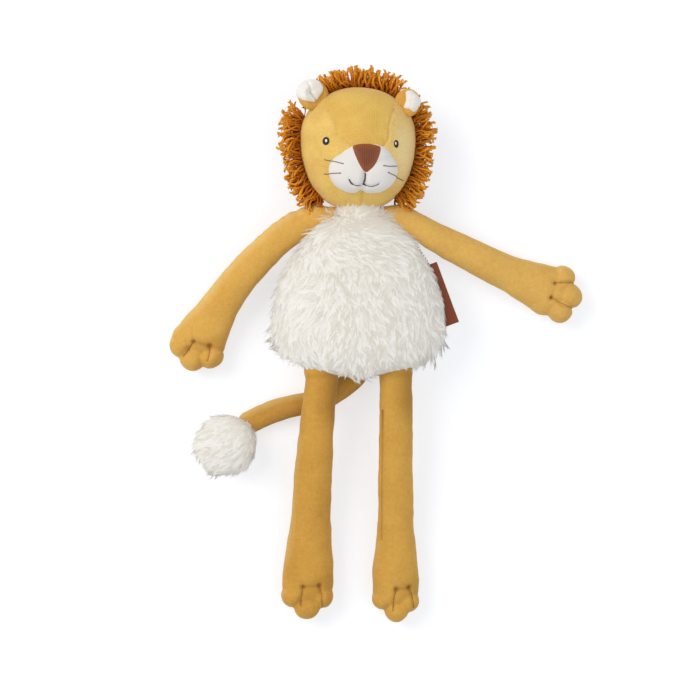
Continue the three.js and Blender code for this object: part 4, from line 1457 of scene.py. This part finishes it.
def shapedCloth(piece, limb, lumpSize):
    points, normals = pointsOf(piece), normalsOf(piece)
    lumps = np.array([noise.fractal(Vector(p) / 13, 0.7, 2, 2) for p in points])
    points = points + normals * (lumps * lumpSize + limbShape["pileThickness"])[:, None]
    upper = points[:, 2] > limbShape["pawHeight"] - 4
    # Painted light and shade: paler on the side that faces up and left, darker on the far side and
    # in dents
    napAndPaintedShading = normals @ unit(np.array([-0.6, 0.8, 0.1]))
    if "pawShade" in limb and limb["y"] < 0:
        # Painted shadow of the body's fur on the tops of the legs
        napAndPaintedShading -= smoothStep(points[:, 1], -92, -62)
    stitches = limb.get("stitches", [])
    if "seam" in limb:
        distance, _ = lineDistance(points, curved(limb["seam"]))
        points = points - normals * (0.7 * bell(distance, 0.8) * upper)[:, None]
        # Painted shade along the seam's groove
        napAndPaintedShading -= 1.7 * bell(distance, 0.9) * upper
    if stitches:
        # The toes bulge up from a soft dent between the two dimples
        distance, _ = lineDistance(points, [line[0] for line in stitches])
        points = points - normals * (0.7 * bell(distance, 2.2) * upper)[:, None]
        # Painted shade round the stitch tops on the paw, and in the dent between the dimples
        napAndPaintedShading -= limb["pawShade"] * bell(distance, 11)
        napAndPaintedShading -= 0.5 * bell(distance, 1.2) * upper
    for line in stitches:
        distance, along = lineDistance(points, line)
        groove = 1.15 * bell(distance, 1.5) + 0.9 * bell(distance, 0.6)
        start = np.linalg.norm(points[:, :2] - np.array(line[0]), axis=1)
        # Painted shade in the dimple at each stitch's top
        napAndPaintedShading -= 1.3 * bell(start, 1.4) * upper
        fall = np.maximum(groove * (1 - 0.3 * along), 1.9 * bell(start, 1.5))
        points = points - normals * (fall * upper)[:, None]
    points[:, 2] = np.maximum(points[:, 2], 0)
    setPoints(piece, points)
    giveValues(piece, "napAndPaintedShading", napAndPaintedShading)


def buildLimbs(materials):
    for name, limb in limbs.items():
        path = limbPath(limb, torso["seamHeight"], limbShape["pawHeight"] - torso["floorCut"])
        parts = [limbBody(limb, path), *toeBalls(limb, path), *rootBalls(limb, path)]
        made = fusedSkin(f"{name}_velour", parts, 0.8, 9, materials[name])
        shapedCloth(made, limb, 0.5)
        finishSoft(made, name, "velour", limbShape["fill"], f"{name}_cover", f"{name}_filling")
        surface = surfaceOf(made)
        threads = []
        for line in limb["stitches"]:
            laid = laidOn(surface, evenly(curved(line), 0.8), 0.05)
            threads.append(tube(laid, limbShape["threadRadius"], 6))
            threads.append(ball(laid[0], np.array(limbShape["knotRadii"]), 12))
        made = meshObject(f"{name}_toe_thread", *joined(threads), materials["stitch"])
        finishTrim(made, name, "velour")


tail = {
    "colours": ("#c59344", "#a6752d", "#d8aa5a"),
    "x": 1.5, "y": -44.5, "headings": (232, 189, 212.5), "length": 88.6, "pawFullAt": 0.85,
    "root": 6.4, "shaft": 6.9, "paw": 6.9, "rootHeight": 8,
    "tuftRadius": 20.5, "tuftHeight": 16, "tuftOverlap": 11.5, "tuftSag": 5.3, "tuftSkin": 0.9,
    "tuftLocks": 1480, "tuftLength": 8, "tuftLift": 0.55,
}


def buildTail(materials, tree):
    endHeight = tail["shaft"] * limbShape["heightShare"] - torso["floorCut"]
    path = limbPath(tail, tail["rootHeight"], endHeight)
    made = fusedSkin("tail_velour", [limbBody(tail, path)], 0.7, 3, materials["tail"])
    shapedCloth(made, tail, 0.3)
    finishSoft(made, "tail", "velour", limbShape["fill"], "tail_cover", "tail_filling")

    point, heading = path(tail["length"])
    centre = point + heading * (tail["tuftRadius"] - tail["tuftOverlap"])
    centre[1] -= tail["tuftSag"]
    centre[2] = tail["tuftHeight"] - torso["floorCut"]
    radii = np.array([tail["tuftRadius"], tail["tuftRadius"], tail["tuftHeight"]])
    points, faces = ball(centre, radii * tail["tuftSkin"], 48)
    core = meshObject("tail_tuft_cloth", points, faces, materials["fleece"])
    finishSoft(core, "tail", "tuft_fur", 0.7, "tail_tuft")

    places, normals = placesOn(core, tail["tuftLocks"], 60, lambda points: points[:, 2] > 2)
    rng = np.random.default_rng(61)
    flow = combed(pileFlow(places, 8) + heading * 0.6, normals)
    aims = flow + normals * (tail["tuftLift"] + rng.normal(0, 0.12, (len(places), 1)))
    aims += rng.normal(0, 0.12, aims.shape)
    aims[:, 2] = np.where(places[:, 2] < 8, np.abs(aims[:, 2]) * 0.15, aims[:, 2])
    lengths = tail["tuftLength"] * rng.uniform(0.7, 1.12, len(places))
    lengths *= 1 - 0.5 * smoothStep((centre - places) @ heading, 7, 16)
    roots = places - normals * fur["rootDepth"]
    tuft = grown(
        "tail_tuft_fur", tree, roots, normals, aims, lengths, rng.random(len(places)),
        materials["fur"], 62, fur["twist"],
    )
    letThrough(tuft)
    points = pointsOf(tuft)
    points[:, 2] = np.maximum(points[:, 2], 0.1)
    setPoints(tuft, points)
    finishTrim(tuft, "tail", "tuft_fur")


# Label: a tape folded on itself, its cut ends in the side seam

label = {
    "corners": [(49.2, 24.3), (63.4, -13.9)],
    "reach": 11.5,
    "height": 27,
    "tapeWall": 0.45,
    "foldGap": 0.12,
    "foldRadius": 0.35,
    "colour": "#813f25",
    "weaveHeading": 20.4,
}


# Woven polyester tape: a fine plain weave
def tapeMaterial(name):
    surface = {
        "Roughness": 0.6, "Specular IOR Level": 0.3, "Sheen Weight": 0.15, "Sheen Tint": "#c9835c",
    }
    weave = [{"ribs": 0.42, "heading": label["weaveHeading"] + turn} for turn in (0, 90)]
    layers = [
        ("#6a311b", (0.3, *weave)),
        ("#874427", (0.25, {"grain": 5, "detail": 2, "low": 0.4, "high": 0.7})),
    ]
    return newMaterial(name, surface, label["colour"], layers, [(1, *weave)], 0.1)


def buildLabel(materials):
    top, bottom = (np.array(p) for p in label["corners"])
    along = bottom - top
    length = np.linalg.norm(along)
    along /= length
    inward = np.array([along[1], -along[0]])
    inward = inward if inward[0] < 0 else -inward
    wall, reach = label["tapeWall"], label["reach"]
    fold = label["foldRadius"]
    middleRise = (wall + label["foldGap"]) / 2
    upper = [(reach, middleRise), (reach * 0.55, middleRise + 0.12), (1.2, middleRise)]
    turns = np.linspace(0.2, math.pi - 0.2, 7)
    bend = [(fold - fold * math.sin(turn), middleRise * math.cos(turn)) for turn in turns]
    lower = [(1.2, -middleRise), (reach * 0.55, -middleRise - 0.05), (reach, -middleRise)]
    line = np.array(upper + bend + lower)
    tangent = np.gradient(line, axis=0)
    tangent /= np.linalg.norm(tangent, axis=1, keepdims=True)
    across = np.stack([-tangent[:, 1], tangent[:, 0]], 1) * wall / 2
    outline = np.concatenate([line + across, (line - across)[::-1]])
    rings = []
    for share in np.linspace(0, 1, 42):
        droop = 0.35 * math.sin(share * 6.5) + 0.2 * math.sin(share * 15)
        ring = []
        for inwards, rise in outline:
            point = top + along * share * length + inward * inwards
            ring.append((*point, label["height"] + rise + droop * (1 - inwards / reach)))
        rings.append(np.array(ring))
    made = meshObject("side_label_tape", *closedRings(rings), materials["label"])
    made.data.shade_flat()
    finishTrim(made, "label", "label_tape", "side_label")


# Rattle: the capsule and its beads keep their own shapes

rattle = {
    "caseColours": ("#d9e2e6", "#c6d2d8"),
    "beadColours": ("#b9552f", "#a3451f"),
}


# Moulded plastic with faint flow marks
def plasticMaterial(name, colour, dark, transmission=0.0):
    surface = {"Roughness": 0.35, "Specular IOR Level": 0.5, "Transmission Weight": transmission}
    layers = [(dark, (1, {"grain": 9, "detail": 3}))]
    return newMaterial(name, surface, colour, layers, [(1, {"grain": 1.5, "detail": 2})], 0.03)


def dressRattle(materials):
    for name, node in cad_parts.items():
        if name.startswith("rattle"):
            node.data.materials.clear()
            node.data.materials.append(materials["bead" if "bead" in name else "case"])


# Stage: its places and sizes are in metres, but for the floor's, which are in millimetres

camera = {"x": -0.0057, "y": -0.0317, "height": 1.2628, "lens": 100}

stage = {
    "floorColour": "#eff2f9",
    "floorGlow": 1.22,
    "floorGlowShare": 0.5,
    "floorReach": 4000,
    "floorDrop": 0.05,
    "roomColour": "#f9fcff",
    "roomStrength": 0.55,
    "aim": (0, -0.02, 0.02),
    "lamps": {
        "key_light": {"place": (-1.05, 0.62, 1.3), "size": 1.1, "watts": 18.4, "colour": "#fff9f2"},
        "fill_light": {"place": (0.9, -0.5, 1.3), "size": 1.4, "watts": 8.5, "colour": "#f4f8ff"},
    },
}


# The rays that show the pale room itself: the camera's, and those that mirror it or pass through
def shownRay(tree):
    ray = addNode(tree, "ShaderNodeLightPath").outputs
    inputs = {0: ray["Is Glossy Ray"], 1: ray["Is Transmission Ray"]}
    passed = addNode(tree, "ShaderNodeMath", inputs, operation="MAXIMUM").outputs[0]
    inputs = {0: ray["Is Camera Ray"], 1: passed}
    return addNode(tree, "ShaderNodeMath", inputs, operation="MAXIMUM").outputs[0]


def buildFloor():
    material = bpy.data.materials.new("pale_floor")
    material.use_nodes = True
    tree = material.node_tree
    tree.nodes.clear()
    inputs = {"Color": linear(stage["floorColour"])}
    diffuse = addNode(tree, "ShaderNodeBsdfDiffuse", inputs).outputs[0]
    inputs = {"Color": (1, 1, 1, 1), "Strength": stage["floorGlow"]}
    glow = addNode(tree, "ShaderNodeEmission", inputs).outputs[0]
    inputs = {0: shownRay(tree), 1: stage["floorGlowShare"]}
    share = addNode(tree, "ShaderNodeMath", inputs, operation="MULTIPLY").outputs[0]
    shown = addNode(tree, "ShaderNodeMixShader", {0: share, 1: diffuse, 2: glow}).outputs[0]
    addNode(tree, "ShaderNodeOutputMaterial", {"Surface": shown})
    far, drop = stage["floorReach"], -stage["floorDrop"]
    corners = [(-far, -far, drop), (far, -far, drop), (far, far, drop), (-far, far, drop)]
    meshObject("floor", corners, [(0, 1, 2, 3)], material)


def buildLamps():
    for name, lamp in stage["lamps"].items():
        data = bpy.data.lights.new(name, "AREA")
        data.size = lamp["size"]
        data.energy = lamp["watts"]
        data.color = linear(lamp["colour"])[:3]
        made = bpy.data.objects.new(name, data)
        made.location = lamp["place"]
        beam = Vector(stage["aim"]) - Vector(lamp["place"])
        made.rotation_euler = beam.to_track_quat("-Z", "Y").to_euler()
        bpy.context.scene.collection.objects.link(made)


def buildRoom():
    world = bpy.data.worlds.new("pale_room")
    bpy.context.scene.world = world
    world.use_nodes = True
    tree = world.node_tree
    tree.nodes.clear()
    inputs = {"Color": linear(stage["roomColour"]), "Strength": stage["roomStrength"]}
    room = addNode(tree, "ShaderNodeBackground", inputs).outputs[0]
    inputs = {"Color": (1, 1, 1, 1), "Strength": 1.0}
    white = addNode(tree, "ShaderNodeBackground", inputs).outputs[0]
    both = addNode(tree, "ShaderNodeMixShader", {0: shownRay(tree), 1: room, 2: white}).outputs[0]
    addNode(tree, "ShaderNodeOutputWorld", {"Surface": both})


def buildCamera():
    data = bpy.data.cameras.new("camera")
    data.lens = camera["lens"]
    data.sensor_width = 36
    data.clip_start = 0.01
    eye = bpy.data.objects.new("camera", data)
    eye.location = (camera["x"], camera["y"], camera["height"])
    bpy.context.scene.collection.objects.link(eye)
    bpy.context.scene.camera = eye
    bpy.context.scene.view_settings.view_transform = "Standard"


materials = {
    "velour": velourMaterial("velour_cloth", velour["colours"]),
    "tail": velourMaterial("velour_tail", tail["colours"]),
    "face": faceMaterial("velour_face"),
    "fleece": fleeceMaterial("pile_backing", *torso["colours"]),
    "backCloth": fleeceMaterial("back_tricot", *torso["backColours"]),
    "muzzle": fleeceMaterial("muzzle_fleece", *muzzle["colours"]),
    "lining": fleeceMaterial("ear_fleece", *ears["liningColours"]),
    "fur": furMaterial("long_pile"),
    "yarn": yarnMaterial("wool_yarn"),
    "nose": satinMaterial("nose_satin_stitch", *nose["colours"], nose["ribPitch"]),
    "eye": satinMaterial("eye_satin_stitch", *eyes["colours"], eyes["ribPitch"]),
    "glint": threadMaterial("glint_thread", eyes["glintColour"]),
    "darkThread": threadMaterial("dark_thread", mouth["darkColour"]),
    "brownThread": threadMaterial("brown_thread", mouth["brownColour"]),
    "stitch": threadMaterial("toe_thread", velour["stitchColour"]),
    "seamThread": threadMaterial("seam_thread", velour["seamColour"]),
    "label": tapeMaterial("label_tape"),
    "case": plasticMaterial("rattle_case", *rattle["caseColours"], 0.3),
    "bead": plasticMaterial("rattle_bead", *rattle["beadColours"]),
}
for name, limb in limbs.items():
    look = (limb["colours"], limb["ribPitch"], limb["ribHeading"])
    materials[name] = velourMaterial(f"velour_{name}", *look)
print("materials made")

buildFloor()
buildLamps()
buildRoom()
buildCamera()
print("stage made")

dressRattle(materials)
skin = buildTorso(materials)
lockTree = strandTree("furLocks", furLocks(materials["fur"]), materials["fur"], fur["standing"])
buildFur(skin, lockTree, materials["fur"])
buildSideSeam(materials)
print("torso made")

face = buildHead(materials)
buildFaceThreads(materials, surfaceOf(face, buildMuzzle(materials)))
buildGussetStitches(materials, face)
for side in ("left", "right"):
    buildEarBack(side, materials)
    buildEarLining(side, materials)
print("head made")

yarnTree = strandTree("maneYarn", yarnShapes(materials["yarn"]), materials["yarn"])
buildMane(yarnTree, materials["yarn"])
print("mane made")

buildLimbs(materials)
buildTail(materials, lockTree)
buildLabel(materials)
print("limbs, tail and label made")
